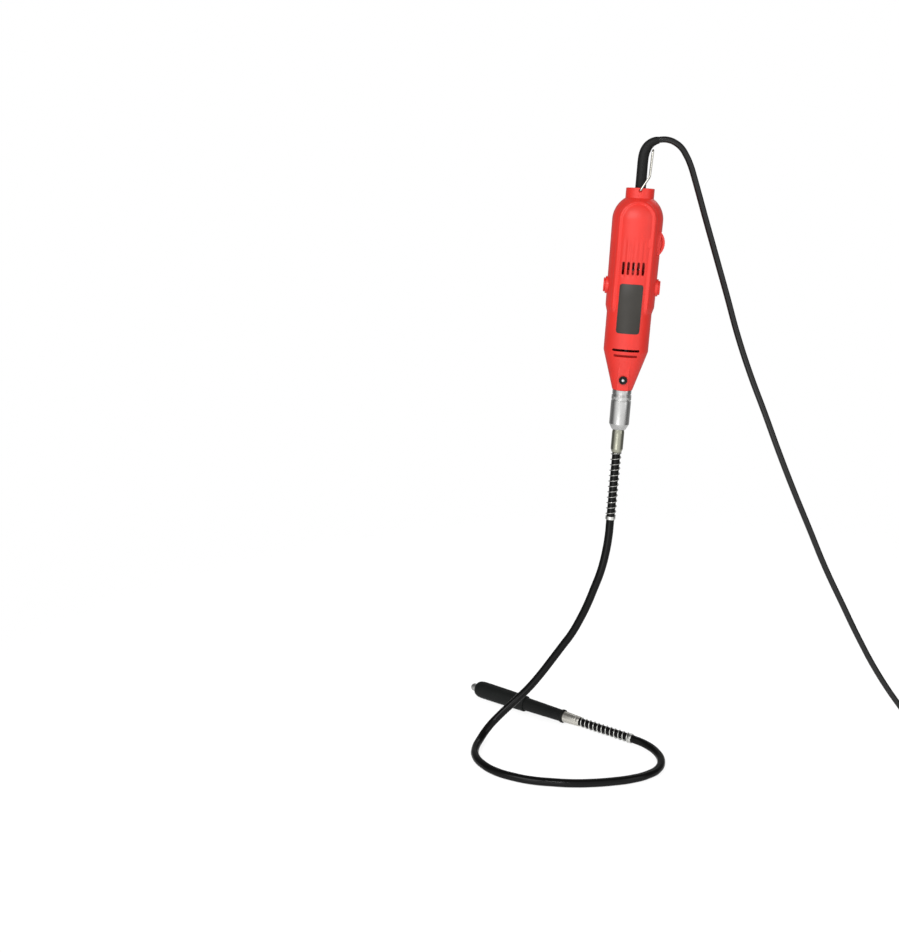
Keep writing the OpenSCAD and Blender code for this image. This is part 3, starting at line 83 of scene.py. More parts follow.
# The flexible shaft, from the upper end ring to the handpiece
SHAFT_ROUTE = (
    (-35, 0, -434), (-38, 0, -455), (-43, 0, -477), (-50, 1, -498), (-57.5, 2, -519),
    (-66, 4, -539), (-75.5, 6, -558), (-87, 8, -576), (-99.5, 9, -595), (-112.5, 9, -614),
    (-126.5, 8, -632), (-143, 5, -649), (-159, -1, -664), (-172.5, -11, -677), (-181, -26, -686.5),
    (-184.5, -46, -689.9), (-181.5, -67, -690.2), (-170, -87, -690.2), (-153.5, -102, -690.2),
    (-133, -111.5, -690.2), (-111, -117, -690.2), (-88, -118, -690.2), (-65, -117, -690.2),
    (-42, -112.5, -690.2), (-20, -105.5, -690.2), (0.5, -96.5, -690.2), (18.5, -83.5, -690.2),
    (30.5, -67.5, -690.1), (34.5, -49.5, -689.2), (30.5, -31.5, -687.8), (18.5, -16, -685.6),
)
# The mains cord, from the strain relief over the hook and down to the coil
RELIEF_ROUTE = ((-10.7, 0, -14), (-10.3, 0, -8), (-9.4, 0, -2), (-7.2, 0, 3.8), (-3.6, 0, 8.4))
CORD_ROUTE = (
    (2, 0, 11.6), (9, 0, 13), (16, 0, 12.5), (23, 0, 9.8), (30, 0, 4.4), (35.5, 0, -3.6),
    (41, 0, -15), (45.5, 0, -28), (51, 0, -45), (58, 0, -67), (72, 0, -110), (86, 0, -153),
    (100, 0, -197), (116, 0, -240), (134, 0, -283), (152, 0, -327), (171, 0, -371),
    (191, 0, -415), (211, 0, -459), (233, 0, -502), (255, 0, -544), (279, 0, -585),
    (306, 0, -623), (321, 0, -641), (338, 0, -656), (357, 0, -669), (378, 0, -678),
)
COIL_X, COIL_R, COIL_PITCH, COIL_TURNS = 402.0, 44.7, 7.4, 1.375
COIL_HIGH, COIL_LOW, CORD_R = -683.4, -690.8, 3.3
COIL_LEAD_IN, CORD_RISE_Y, CORD_RISE_LEN = 16.5, 56.3, 26.0
PLUG = (446.7, 95.3, -688.2)
PLUG_HALF, PLUG_LEN, PIN_X = 6.8, 34.0, 9.5
TIE_Y, TIE_W, TIE_H, TIE_WALL = 86.16, 25.975, 15.8, 0.8

# In metres: the sheath's thickness, where the pins' sleeves end, and the stage. The camera's
# two turns are in degrees and its lens is in millimetres.
SHEATH_D = 0.0094
PIN_SLEEVE_END = 0.139
GROUND_R, GROUND_AT = 3.0, (0.1, 0.1, -0.6953)
CAMERA_AT, CAMERA_TILT, CAMERA_TURN, CAMERA_LENS = (-0.020, -1.320, -0.070), 77.45, 8.75, 43.79
MIDDLE = (0.0, 0.0, -0.3)


def tool_point(s):
    return TOOL @ Vector((0.0, 0.0, -s))


def hand_point(t):
    return HAND @ Vector((0.0, 0.0, t))


def lowered(s):
    return Matrix.Translation((0.0, 0.0, -s))


def quarter(axis, turns=1):
    """Quarter turns about an axis."""
    return Matrix.Rotation(turns * math.pi / 2, 4, axis)


TO_FRONT = quarter("X")


# Sizes and colours that a user would change


def length(name, description, millimetres, low, high):
    return FloatProperty(
        name=name, description=description, default=millimetres / 1000, min=low / 1000,
        max=high / 1000, precision=4, subtype="DISTANCE", unit="LENGTH",
    )


def colour(name, description, value):
    return FloatVectorProperty(
        name=name, description=description, default=value, min=0.0, max=1.0, size=3, subtype="COLOR"
    )


class RotaryToolSizes(bpy.types.PropertyGroup):
    """Relief and trim of the pieces"""

    rim_height: length("Rim height", "Height of the arched rim above the body", 0.8, 0.3, 1.5)
    rim_width: length("Rim width", "Width of the arched rim", 3.4, 2.0, 5.0)
    rim_softness: length("Rim softness", "Half the width over which the rim's edges fall", 1.0, 0.5, 1.6)
    flute_depth: length("Flute depth", "Depth of the flutes that run into the vents", 0.5, 0.0, 0.8)
    vent_width: length("Vent width", "Width of every vent slot", 2.8, 1.5, 3.2)
    seam: length("Seam", "Gap between the housing's halves", 0.12, 0.0, 0.4)
    plate_corner: length("Plate corner", "Radius of the plate's corners", 3.4, 1.0, 6.0)
    dial_ridge: length("Dial ridge", "Height of the speed dial's ridges", 0.3, 0.1, 0.5)
    dial_ridges: IntProperty(
        name="Dial ridges", description="Number of ridges round the speed dial", default=60, min=30, max=90
    )
    spring_turns: IntProperty(
        name="Spring turns", description="Turns in each bend guard spring", default=12, min=9, max=14
    )
    collet_flat: length("Collet flat", "Depth of the collet nut's two flats", 0.45, 0.2, 0.6)


class RotaryToolColours(bpy.types.PropertyGroup):
    """Base colours of the finishes"""

    housing: colour("Housing", "Moulded plastic of the housing, dial and brush caps", (0.83, 0.031, 0.020))
    plate: colour("Plate", "Bare film of the name plate", (0.040, 0.036, 0.030))
    rubber: colour("Rubber", "Mains cord, strain relief and plug", (0.0042, 0.0042, 0.0040))
    sheath: colour("Sheath", "Outer hose of the flexible shaft", (0.0035, 0.0035, 0.0035))
    grip: colour("Grip", "Soft black of the handpiece", (0.0085, 0.0095, 0.009))
    aluminium: colour("Aluminium", "Coupling nut and the handpiece's barrel", (0.66, 0.66, 0.65))
    nickel: colour("Nickel", "Ferrule under the nut", (0.42, 0.42, 0.34))


class RotaryToolStage(bpy.types.PropertyGroup):
    """Light and floor"""

    key_power: FloatProperty(
        name="Key light", description="Strength of the large light at the front left", default=12.0,
        min=0.0, max=200.0, unit="POWER",
    )
    fill_power: FloatProperty(
        name="Fill light", description="Strength of the light at the right and of the one behind",
        default=3.0, min=0.0, max=200.0, unit="POWER",
    )
    low_power: FloatProperty(
        name="Low light", description="Strength of the light under the motor unit's nose", default=0.7,
        min=0.0, max=20.0, unit="POWER",
    )
    gloss_power: FloatProperty(
        name="Gloss light", description="Strength of the small light that the hose's loop mirrors",
        default=2.0, min=0.0, max=20.0, unit="POWER",
    )
    floor_tone: colour("Floor", "Tone of the floor", (0.90, 0.90, 0.90))


# Node trees


class Wire:
    """One output in a finish's node tree. Sums on it add Math nodes."""

    def __init__(self, finish, socket):
        self.finish = finish
        self.socket = socket

    def _sum(self, operation, first, second):
        return self.finish.node("ShaderNodeMath", {"operation": operation}, {0: first, 1: second})

    def __add__(self, other):
        return self._sum("ADD", self, other)

    def __radd__(self, other):
        return self._sum("ADD", other, self)

    def __sub__(self, other):
        return self._sum("SUBTRACT", self, other)

    def __rsub__(self, other):
        return self._sum("SUBTRACT", other, self)

    def __mul__(self, other):
        return self._sum("MULTIPLY", self, other)

    def __rmul__(self, other):
        return self._sum("MULTIPLY", other, self)

    def step(self, low, high):
        """0 under low, 1 over high, and smooth between."""
        return self.finish.node(
            "ShaderNodeMapRange", {"interpolation_type": "SMOOTHSTEP"},
            {"Value": self, "From Min": low, "From Max": high, "To Min": 0.0, "To Max": 1.0},
        )


class Finish:
    """A material whose constants sit on its shader's own sockets."""

    def __init__(self, name, base, roughness, metallic=0.0, coat=0.0, coat_roughness=0.15, specular=0.5):
        self.material = bpy.data.materials.new(name)
        self.material.use_nodes = True
        self.tree = self.material.node_tree
        self.shader = self.tree.nodes["Principled BSDF"]
        self.base = (*base, 1.0)
        for socket, value in (
            ("Base Color", self.base), ("Roughness", roughness), ("Metallic", metallic),
            ("Coat Weight", coat), ("Coat Roughness", coat_roughness), ("Specular IOR Level", specular),
        ):
            self.shader.inputs[socket].default_value = value

    def node(self, kind, settings=None, sockets=None, output=0):
        node = self.tree.nodes.new(kind)
        for name, value in (settings or {}).items():
            setattr(node, name, value)
        for name, value in (sockets or {}).items():
            if isinstance(value, Wire):
                self.tree.links.new(value.socket, node.inputs[name])
            else:
                node.inputs[name].default_value = value
        return Wire(self, node.outputs[output])

    def place(self):
        return self.node("ShaderNodeTexCoord", output="Object")

    def along(self, axis):
        """Distance in metres along an axis of the room."""
        return self.node(
            "ShaderNodeVectorMath", {"operation": "DOT_PRODUCT"}, {0: self.place(), 1: axis}, "Value"
        )

    def noise(self, scale, detail=2.0, roughness=0.5):
        return self.node(
            "ShaderNodeTexNoise", {},
            {"Vector": self.place(), "Scale": scale, "Detail": detail, "Roughness": roughness},
        )

    def rings(self, axis, scale):
        """Marks that run round an axis, as a lathe leaves them."""
        return self.node(
            "ShaderNodeTexNoise", {"noise_dimensions": "1D"},
            {"W": self.along(axis), "Scale": scale, "Detail": 2.0},
        )

    def mixed(self, share, first, second):
        return self.node("ShaderNodeMix", {"data_type": "RGBA"}, {0: share, 6: first, 7: second}, 2)

    def shade(self, factor):
        return tuple(min(1.0, c * factor) for c in self.base[:3]) + (1.0,)

    def feed(self, socket, wire):
        self.tree.links.new(wire.socket, self.shader.inputs[socket])

    def bump(self, height, depth, strength=0.5):
        """Relief of a depth in metres."""
        self.feed("Normal", self.node(
            "ShaderNodeBump", {}, {"Strength": strength, "Distance": depth, "Height": height}
        ))


TOOL_AXIS = tuple(TOOL.to_3x3() @ Vector((0.0, 0.0, -1.0)))
HAND_AXIS = tuple(HAND.to_3x3() @ Vector((0.0, 0.0, 1.0)))


def moulded(name, base, roughness, coat):
    """Moulded plastic: cloudy tone, a fine grain, and a gloss that wanders a little."""
    finish = Finish(name, base, roughness, coat=coat, coat_roughness=0.22)
    cloud = finish.noise(26.0, 3.0)
    finish.feed("Base Color", finish.mixed(cloud.step(0.38, 0.68) * 0.6, finish.base, finish.shade(0.88)))
    finish.feed("Roughness", roughness - 0.05 + cloud * 0.06 + finish.noise(520.0) * 0.06)
    finish.bump(finish.noise(2200.0), 0.00004, 0.35)
    return finish


def soft_black(name, base, roughness, coat=0.0, wave=0.0, specular=0.32, grain=0.45):
    """Rubber or soft plastic: dusty patches on a fine grain, with slow waves on a hose."""
    finish = Finish(name, base, roughness, coat=coat, coat_roughness=0.14, specular=specular)
    dust = finish.noise(75.0, 4.0, 0.6).step(0.48, 0.74)
    finish.feed("Base Color", finish.mixed(dust * 0.5, finish.base, finish.shade(1.9)))
    finish.feed("Roughness", roughness - 0.04 + dust * 0.10)
    finish.bump(finish.noise(1600.0) + finish.noise(170.0) * wave, 0.00005, grain)
    return finish


def turned_metal(name, base, roughness, axis, scale=2300.0, marks=0.14):
    """Lathe marks round the axis, with faint handling stains."""
    finish = Finish(name, base, roughness, metallic=1.0)
    lines = finish.rings(axis, scale)
    stains = finish.noise(140.0, 3.0).step(0.45, 0.75)
    finish.feed("Base Color", finish.mixed(stains * 0.5, finish.base, finish.shade(0.8)))
    finish.feed("Roughness", roughness - 0.06 + lines * marks + stains * 0.07)
    finish.bump(lines, 0.000004, 0.4)
    return finish


def plain_metal(name, base, roughness):
    """Drawn or pressed metal with a cloudy polish."""
    finish = Finish(name, base, roughness, metallic=1.0)
    cloud = finish.noise(180.0, 3.0)
    finish.feed("Base Color", finish.mixed(cloud.step(0.4, 0.7) * 0.5, finish.base, finish.shade(0.72)))
    finish.feed("Roughness", roughness - 0.05 + cloud * 0.12)
    finish.bump(finish.noise(1400.0), 0.000005, 0.4)
    return finish


def layered(name, base, roughness, axis, pitch):
    """Stacked sheets or wound wire: even bands along an axis."""
    finish = Finish(name, base, roughness, metallic=0.9)
    band = finish.node(
        "ShaderNodeMath", {"operation": "PINGPONG"}, {0: finish.along(axis), 1: pitch / 2}
    ) * (2 / pitch)
    finish.feed("Base Color", finish.mixed(band.step(0.15, 0.6), finish.shade(0.45), finish.base))
    finish.feed("Roughness", roughness + finish.noise(300.0) * 0.12)
    finish.bump(band, pitch * 0.3, 0.5)
    return finish


def plate_film(colours):
    """Bare film: satin, with a fine brushed grain and a faint wipe mark."""
    finish = Finish("label", colours.plate, 0.42, coat=0.05, coat_roughness=0.3, specular=0.4)
    wipe = finish.noise(38.0).step(0.35, 0.75)
    finish.feed("Base Color", finish.mixed(wipe * 0.6, finish.base, finish.shade(0.75)))
    finish.feed("Roughness", 0.38 + wipe * 0.08 + finish.noise(900.0) * 0.06)
    finish.bump(finish.noise(2400.0), 0.00002, 0.3)
    return finish


def sleeved_pins(colours):
    """Plug pins with insulating sleeves on the half next to the body."""
    finish = Finish("plug_pins", (0.62, 0.60, 0.55), 0.25, metallic=1.0)
    bare = finish.along((0.0, 1.0, 0.0)).step(PIN_SLEEVE_END - 0.0002, PIN_SLEEVE_END + 0.0002)
    finish.feed("Base Color", finish.mixed(bare, (0.02, 0.02, 0.02, 1.0), finish.base))
    finish.feed("Metallic", bare)
    finish.feed("Roughness", 0.5 - bare * 0.26 + finish.noise(700.0) * 0.06)
    finish.bump(finish.noise(2000.0), 0.00002, 0.3)
    return finish


def circuit_board(colours):
    """Green mask with raised tracks."""
    finish = Finish("board", (0.018, 0.11, 0.045), 0.35, coat=0.3)
    tracks = finish.node(
        "ShaderNodeTexVoronoi", {"feature": "DISTANCE_TO_EDGE"},
        {"Vector": finish.place(), "Scale": 260.0}, "Distance",
    ).step(0.05, 0.09)
    finish.feed("Base Color", finish.mixed(tracks, (0.05, 0.22, 0.10, 1.0), finish.base))
    finish.bump(1 - tracks, 0.00003, 0.5)
    return finish


def speckled(name, base, roughness, coat=0.0, tone=0.7, specular=0.5):
    """Small opaque parts: a slight mottle and a fine grain."""
    finish = Finish(name, base, roughness, coat=coat, specular=specular)
    spots = finish.noise(420.0, 3.0).step(0.4, 0.7)
    finish.feed("Base Color", finish.mixed(spots * 0.6, finish.base, finish.shade(tone)))
    finish.feed("Roughness", roughness - 0.04 + spots * 0.1)
    finish.bump(finish.noise(2600.0), 0.00003, 0.4)
    return finish


# Each finish: the record's slot that it stands for, and how it is made
FINISHES = {
    "red_plastic": ("red_plastic", lambda c: moulded("red_plastic", c.housing, 0.42, 0.10)),
    "label": ("label", plate_film),
    "black_plastic": (
        "black_plastic", lambda c: speckled("black_plastic", (0.008, 0.008, 0.008), 0.40, specular=0.2)
    ),
    "cord_rubber": (
        "black_rubber", lambda c: soft_black("cord_rubber", c.rubber, 0.24, coat=0.2, wave=0.6)
    ),
    "relief_rubber": ("black_rubber", lambda c: soft_black("relief_rubber", c.rubber, 0.66)),
    "grip_rubber": ("black_rubber", lambda c: soft_black("grip_rubber", c.grip, 0.55, specular=0.16)),
    "sheath_rubber": (
        "sheath_rubber",
        lambda c: soft_black(
            "sheath_rubber", c.sheath, 0.24, coat=0.22, wave=0.8, specular=0.06, grain=0.15
        ),
    ),
    "aluminium": (
        "aluminium", lambda c: turned_metal("aluminium", c.aluminium, 0.26, TOOL_AXIS, 900.0, 0.08)
    ),
    "barrel_aluminium": (
        "aluminium", lambda c: turned_metal("barrel_aluminium", c.aluminium, 0.30, HAND_AXIS)
    ),
    "nickel": ("nickel", lambda c: turned_metal("nickel", c.nickel, 0.20, TOOL_AXIS)),
    "bright_nickel": (
        "nickel",
        lambda c: turned_metal("bright_nickel", (0.72, 0.70, 0.64), 0.30, HAND_AXIS, 900.0, 0.06),
    ),
    "steel": ("steel", lambda c: turned_metal("steel", (0.56, 0.56, 0.57), 0.30, TOOL_AXIS)),
    "hand_steel": ("steel", lambda c: turned_metal("hand_steel", (0.50, 0.50, 0.49), 0.30, HAND_AXIS)),
    "spring_steel": ("spring_steel", lambda c: plain_metal("spring_steel", (0.76, 0.76, 0.73), 0.24)),
    # Painted shade: the same spring steel as spring_steel, made darker for the upper spring
    "shaded_spring": ("spring_steel", lambda c: plain_metal("shaded_spring", (0.42, 0.42, 0.40), 0.18)),
    "inner_steel": ("steel", lambda c: plain_metal("inner_steel", (0.24, 0.24, 0.25), 0.50)),
    "bail_wire": ("spring_steel", lambda c: plain_metal("bail_wire", (0.66, 0.64, 0.58), 0.24)),
    "shaft_core": ("steel", lambda c: plain_metal("shaft_core", (0.45, 0.45, 0.46), 0.38)),
    "iron": ("iron", lambda c: layered("iron", (0.26, 0.26, 0.27), 0.45, TOOL_AXIS, 0.0006)),
    "copper": ("copper", lambda c: layered("copper", (0.60, 0.25, 0.09), 0.32, TOOL_AXIS, 0.0007)),
    "segments": ("copper", lambda c: turned_metal("segments", (0.66, 0.30, 0.14), 0.26, TOOL_AXIS)),
    "brass": ("brass", lambda c: plain_metal("brass", (0.68, 0.50, 0.20), 0.28)),
    "graphite": ("graphite", lambda c: speckled("graphite", (0.045, 0.045, 0.05), 0.5)),
    "board": ("board", circuit_board),
    "film_cap": ("film_cap", lambda c: speckled("film_cap", (0.50, 0.30, 0.03), 0.28, coat=0.4, tone=0.85)),
    "lead_brown": ("lead_brown", lambda c: speckled("lead_brown", (0.10, 0.045, 0.02), 0.4)),
    "plug_pins": ("nickel", sleeved_pins),
}
made_finishes = {}


def finish(name):
    if name not in made_finishes:
        made_finishes[name] = FINISHES[name][1](bpy.context.scene.rotary_tool_colours).material
    return made_finishes[name]


# Work at the bench


def put_down():
    if bpy.context.object and bpy.context.object.mode != "OBJECT":
        bpy.ops.object.mode_set(mode="OBJECT")
    bpy.ops.object.select_all(action="DESELECT")


def take(piece):
    put_down()
    piece.select_set(True)
    bpy.context.view_layer.objects.active = piece


@contextlib.contextmanager
def editing(piece, kind="FACE"):
    take(piece)
    bpy.ops.object.mode_set(mode="EDIT")
    bpy.ops.mesh.select_mode(type=kind)
    bpy.ops.mesh.select_all(action="DESELECT")
    yield
    bpy.ops.object.mode_set(mode="OBJECT")


def pick_faces(piece, wanted):
    mesh = bmesh.from_edit_mesh(piece.data)
    for face in mesh.faces:
        face.select_set(bool(wanted(face.calc_center_median(), face.normal)))
    bmesh.update_edit_mesh(piece.data)


def modify(piece, kind, **settings):
    take(piece)
    modifier = piece.modifiers.new(kind.title(), kind)
    for name, value in settings.items():
        setattr(modifier, name, value)
    bpy.ops.object.modifier_apply(modifier=modifier.name)


def bevelled(piece, width, segments=3, angle=35.0):
    modify(
        piece, "BEVEL", width=width, segments=segments, limit_method="ANGLE",
        angle_limit=math.radians(angle), miter_outer="MITER_ARC",
    )
    return piece


def joined(pieces):
    take(pieces[0])
    for piece in pieces[1:]:
        piece.select_set(True)
    if len(pieces) > 1:
        bpy.ops.object.join()
    return pieces[0]


def carve(piece, tool, operation="DIFFERENCE"):
    """One boolean with a tool that is used up."""
    modify(piece, "BOOLEAN", object=tool, operation=operation, solver="MANIFOLD")
    if not piece.data.polygons:
        raise RuntimeError(f"nothing is left of {piece.name} after its {operation.lower()}")
    bpy.data.objects.remove(tool)
    return piece


def turn_to(piece, matrix):
    """Moves a piece by a matrix and writes its place into its mesh."""
    take(piece)
    bpy.context.view_layer.update()
    piece.matrix_world = matrix @ piece.matrix_world
    bpy.ops.object.transform_apply(location=True, rotation=True, scale=True)
    return piece


def copied(piece, name, matrix=ROOM):
    """A copy with its own mesh, moved by the matrix."""
    twin = piece.copy()
    twin.data = piece.data.copy()
    twin.name = name
    bpy.context.scene.collection.objects.link(twin)
    turn_to(twin, matrix)
    return twin


def settle(piece, at, surface, node, body="motor_unit", smooth=32.0):
    """Puts a finished piece in the room, in metres, with its finish, its body and its CAD node."""
    turn_to(piece, TO_METRES @ at)
    piece.data.name = piece.name
    piece.data.materials.clear()
    piece.data.materials.append(finish(surface))
    take(piece)
    bpy.ops.object.shade_smooth_by_angle(angle=math.radians(smooth))
    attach(piece, body)
    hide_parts(node)
    return piece


def rounded(corners, steps=4, closed=True, size=2):
    """A line whose corners carry a radius after their coordinates, with those corners rounded."""
    done = []
    for i, corner in enumerate(corners):
        here = Vector(corner[:size])
        radius = corner[size] if len(corner) > size else 0.0
        if not radius or (not closed and i in (0, len(corners) - 1)):
            done.append(here)
            continue
        before = Vector(corners[i - 1][:size]) - here
        after = Vector(corners[(i + 1) % len(corners)][:size]) - here
        turn = math.pi - before.angle(after)
        back = min(radius * math.tan(turn / 2), 0.48 * before.length, 0.48 * after.length)
        start, end = here + before.normalized() * back, here + after.normalized() * back
        for k in range(steps + 1):
            u = k / steps
            done.append((1 - u) ** 2 * start + 2 * u * (1 - u) * here + u * u * end)
    return done


def spaced(line, gap):
    """The line with points added so that no step is longer than the gap."""
    done = [Vector(line[0])]
    for point in line[1:]:
        start, end = done[-1], Vector(point)
        count = max(1, math.ceil((end - start).length / gap))
        done.extend(start.lerp(end, k / count) for k in range(1, count + 1))
    return done


def turned(name, corners, around=96, steps=4):
    """A closed outline of radius and height, its corners rounded, spun round the Z axis."""
    outline = rounded(corners, steps)
    put_down()
    bpy.ops.mesh.primitive_circle_add(vertices=len(outline), radius=1.0, fill_type="NOTHING")
    piece = bpy.context.object
    piece.name = name
    for vertex, (radius, height) in zip(piece.data.vertices, outline):
        vertex.co = (radius, 0.0, height)
    with editing(piece, "VERT"):
        bpy.ops.mesh.select_all(action="SELECT")
        bpy.ops.mesh.spin(steps=around, angle=2 * math.pi, center=(0, 0, 0), axis=(0, 0, 1))
        bpy.ops.mesh.select_all(action="SELECT")
        bpy.ops.mesh.remove_doubles(threshold=0.0005)
        bpy.ops.mesh.delete_loose()
        bpy.ops.mesh.select_all(action="SELECT")
        bpy.ops.mesh.normals_make_consistent(inside=False)
    return piece


def down(corners):
    """An outline given by its distance down the tool."""
    return [(c[0], -c[1], *c[2:]) for c in corners]


def ridged(piece, around, wanted, height):
    """Raises every second face round the Z axis where wanted says so."""
    def every_second(centre, normal):
        turn = math.atan2(centre.y, centre.x) / (2 * math.pi) * around
        return math.floor(turn) % 2 == 0 and abs(normal.z) < 0.3 and wanted(centre)

    with editing(piece):
        pick_faces(piece, every_second)
        bpy.ops.mesh.extrude_region_shrink_fatten(TRANSFORM_OT_shrink_fatten={"value": height})
    return piece


def block(size, centre):
    put_down()
    bpy.ops.mesh.primitive_cube_add(size=1.0, location=centre)
    piece = bpy.context.object
    piece.scale = size
    return turn_to(piece, ROOM)


def bar(radius, start, end, sides=48):
    """A round bar between two points."""
    start, end = Vector(start), Vector(end)
    put_down()
    bpy.ops.mesh.primitive_cylinder_add(vertices=sides, radius=radius, depth=(end - start).length)
    way = (end - start).to_track_quat("Z", "Y").to_matrix().to_4x4()
    return turn_to(bpy.context.object, Matrix.Translation((start + end) / 2) @ way)


def slot_tool(width, long, centre, depth, turn=0.0):
    """A bar with a long round-ended section that goes through in Y."""
    put_down()
    bpy.ops.mesh.primitive_cylinder_add(vertices=32, radius=width / 2, depth=depth)
    piece = bpy.context.object
    half = (long - width) / 2
    with editing(piece, "VERT"):
        for side in (-1, 1):
            mesh = bmesh.from_edit_mesh(piece.data)
            for vertex in mesh.verts:
                vertex.select_set(vertex.co.y * side > 0.001)
            mesh.select_flush_mode()
            bmesh.update_edit_mesh(piece.data)
            bpy.ops.transform.translate(value=(0.0, side * half, 0.0))
            bpy.ops.mesh.select_all(action="DESELECT")
    return turn_to(
        piece, Matrix.Translation(centre) @ Matrix.Rotation(turn, 4, "Y") @ TO_FRONT
    )


def prism(name, outline, low, high):
    """A flat outline pushed up from one height to another."""
    put_down()
    bpy.ops.mesh.primitive_circle_add(vertices=len(outline), radius=1.0, fill_type="NGON")
    piece = bpy.context.object
    piece.name = name
    for vertex, point in zip(piece.data.vertices, outline):
        vertex.co = (point[0], point[1], low)
    with editing(piece):
        bpy.ops.mesh.select_all(action="SELECT")
        bpy.ops.mesh.extrude_region_move(TRANSFORM_OT_translate={"value": (0.0, 0.0, high - low)})
        bpy.ops.mesh.select_all(action="SELECT")
        bpy.ops.mesh.normals_make_consistent(inside=False)
    return piece


def round_rect(width, height, corner, steps=6):
    w, h = width / 2, height / 2
    return rounded([(-w, -h, corner), (w, -h, corner), (w, h, corner), (-w, h, corner)], steps)


def drawn_line(name, points, diameter, sides=12, kind="POLY", steps=1, radii=None):
    """A curve through the points with a round section."""
    line = bpy.data.curves.new(name, "CURVE")
    line.dimensions = "3D"
    line.bevel_depth = diameter / 2
    line.bevel_resolution = max(0, sides // 2 - 2)
    line.resolution_u = steps
    line.use_fill_caps = True
    spline = line.splines.new(kind)
    many = spline.bezier_points if kind == "BEZIER" else spline.points
    many.add(len(points) - 1)
    for i, (knot, point) in enumerate(zip(many, points)):
        if kind == "BEZIER":
            knot.co = point
            knot.handle_left_type = knot.handle_right_type = "AUTO"
        else:
            knot.co = (*point, 1.0)
        knot.radius = radii[i] if radii else 1.0
    piece = bpy.data.objects.new(name, line)
    bpy.context.scene.collection.objects.link(piece)
    return piece


def tube(name, points, diameter, sides=12, radii=None, kind="POLY", steps=1):
    """The same line as a mesh."""
    piece = drawn_line(name, points, diameter, sides, kind, steps, radii)
    take(piece)
    bpy.ops.object.convert(target="MESH")
    piece = bpy.context.object
    with editing(piece, "VERT"):
        bpy.ops.mesh.select_all(action="SELECT")
        bpy.ops.mesh.remove_doubles(threshold=0.0005)
        bpy.ops.mesh.normals_make_consistent(inside=False)
    return piece


# Pieces


def ease(low, high, value):
    share = min(1.0, max(0.0, (value - low) / (high - low)))
    return share * share * (3 - 2 * share)


def body_radius(s):
    if s < DOME_S:
        return math.sqrt(BODY_R**2 - (DOME_S - s) ** 2)
    if s < STEP_S:
        return BODY_R + (HIP_R - BODY_R) * (s - DOME_S) / (STEP_S - DOME_S)
    if s < STEP_END:
        return HIP_R + (WAIST_R - HIP_R) * (s - STEP_S) / (STEP_END - STEP_S)
    if s < CONE_S:
        return WAIST_R
    return WAIST_R + (NOSE_R - WAIST_R) * (s - CONE_S) / (END_S - CONE_S)


def floor_radius(s):
    if s < DOME_S:
        return math.sqrt(FLOOR_R**2 - (DOME_S - s) ** 2)
    if s < STEP_END + 0.5:
        return FLOOR_R + (WAIST_R - FLOOR_R) * (s - DOME_S) / (STEP_END + 0.5 - DOME_S)
    return WAIST_R


def housing_blank():
    """The whole housing, spun from its wall's outline."""
    start = DOME_S - math.sqrt(BODY_R**2 - COLLAR_R**2)
    first = math.acos((DOME_S - start) / BODY_R)
    dome = [
        (BODY_R * math.sin(a), DOME_S - BODY_R * math.cos(a))
        for a in (first + (math.pi / 2 - first) * k / 42 for k in range(43))
    ]
    outside = rounded(
        [(5.95, 0.0), (COLLAR_R, 0.0, 0.9), (COLLAR_R, start, 1.6), *dome[1:], (HIP_R, STEP_S, 7.0),
         (WAIST_R, STEP_END, 7.0), (WAIST_R, CONE_S, 9.0), (NOSE_R, END_S, 0.6), (7.55, END_S)],
        5, closed=False,
    )
    upper = [p for p in outside if p.y < 140.0]
    lower = [p for p in outside if p.y >= 140.0]
    outside = spaced(upper, 0.66) + spaced([upper[-1], *lower], 1.4)[1:]
    vault = [
        (INNER_R * math.sin(a), DOME_S - INNER_R * math.cos(a))
        for a in (math.pi / 2 - (math.pi / 2 - 0.249) * k / 9 for k in range(10))
    ]
    inside = [(7.55, 198.0), (11.05, 197.0), (11.05, 178.0), (21.2, 178.0), (22.5, 177.0), (22.5, STEP_END)]
    outline = [(p[0], -p[1]) for p in (*outside, *inside, *vault)]
    return turned("housing", outline, 288)


def raise_relief(piece, sizes):
    """Moves the outer skin in and out: arched rim, sunk panel and flutes, on both halves."""
    height, half = sizes.rim_height * 1000, sizes.rim_width * 500
    soft, flute = sizes.rim_softness * 1000, sizes.flute_depth * 1000
    for vertex in piece.data.vertices:
        x, y, s = vertex.co.x, vertex.co.y, -vertex.co.z
        radius = math.hypot(x, y)
        if not 11.4 < s < 140.0 or radius < body_radius(s) - 1.0:
            continue
        off = (math.hypot(x, s - RIM_CENTRE) if s < RIM_CENTRE else abs(x)) - RIM_HALF
        rim = height * (1 - ease(half - soft, half + soft, off)) * (1 - ease(129.0, 138.0, s))
        share = ease(-half - soft, -half + soft, off)
        sunk = floor_radius(s)
        first = 0.0 if y < 0 else 0.5
        if abs(x) < VENT_PITCH * (2.5 - first):
            wave = 0.5 + 0.5 * math.cos(2 * math.pi * (x / VENT_PITCH - first))
            sunk -= flute * wave * ease(50.0, 62.0, s) * (1 - ease(93.0, 98.0, s))
        target = sunk * (1 - share) + (radius + rim) * share
        vertex.co.x, vertex.co.y = x * target / radius, y * target / radius


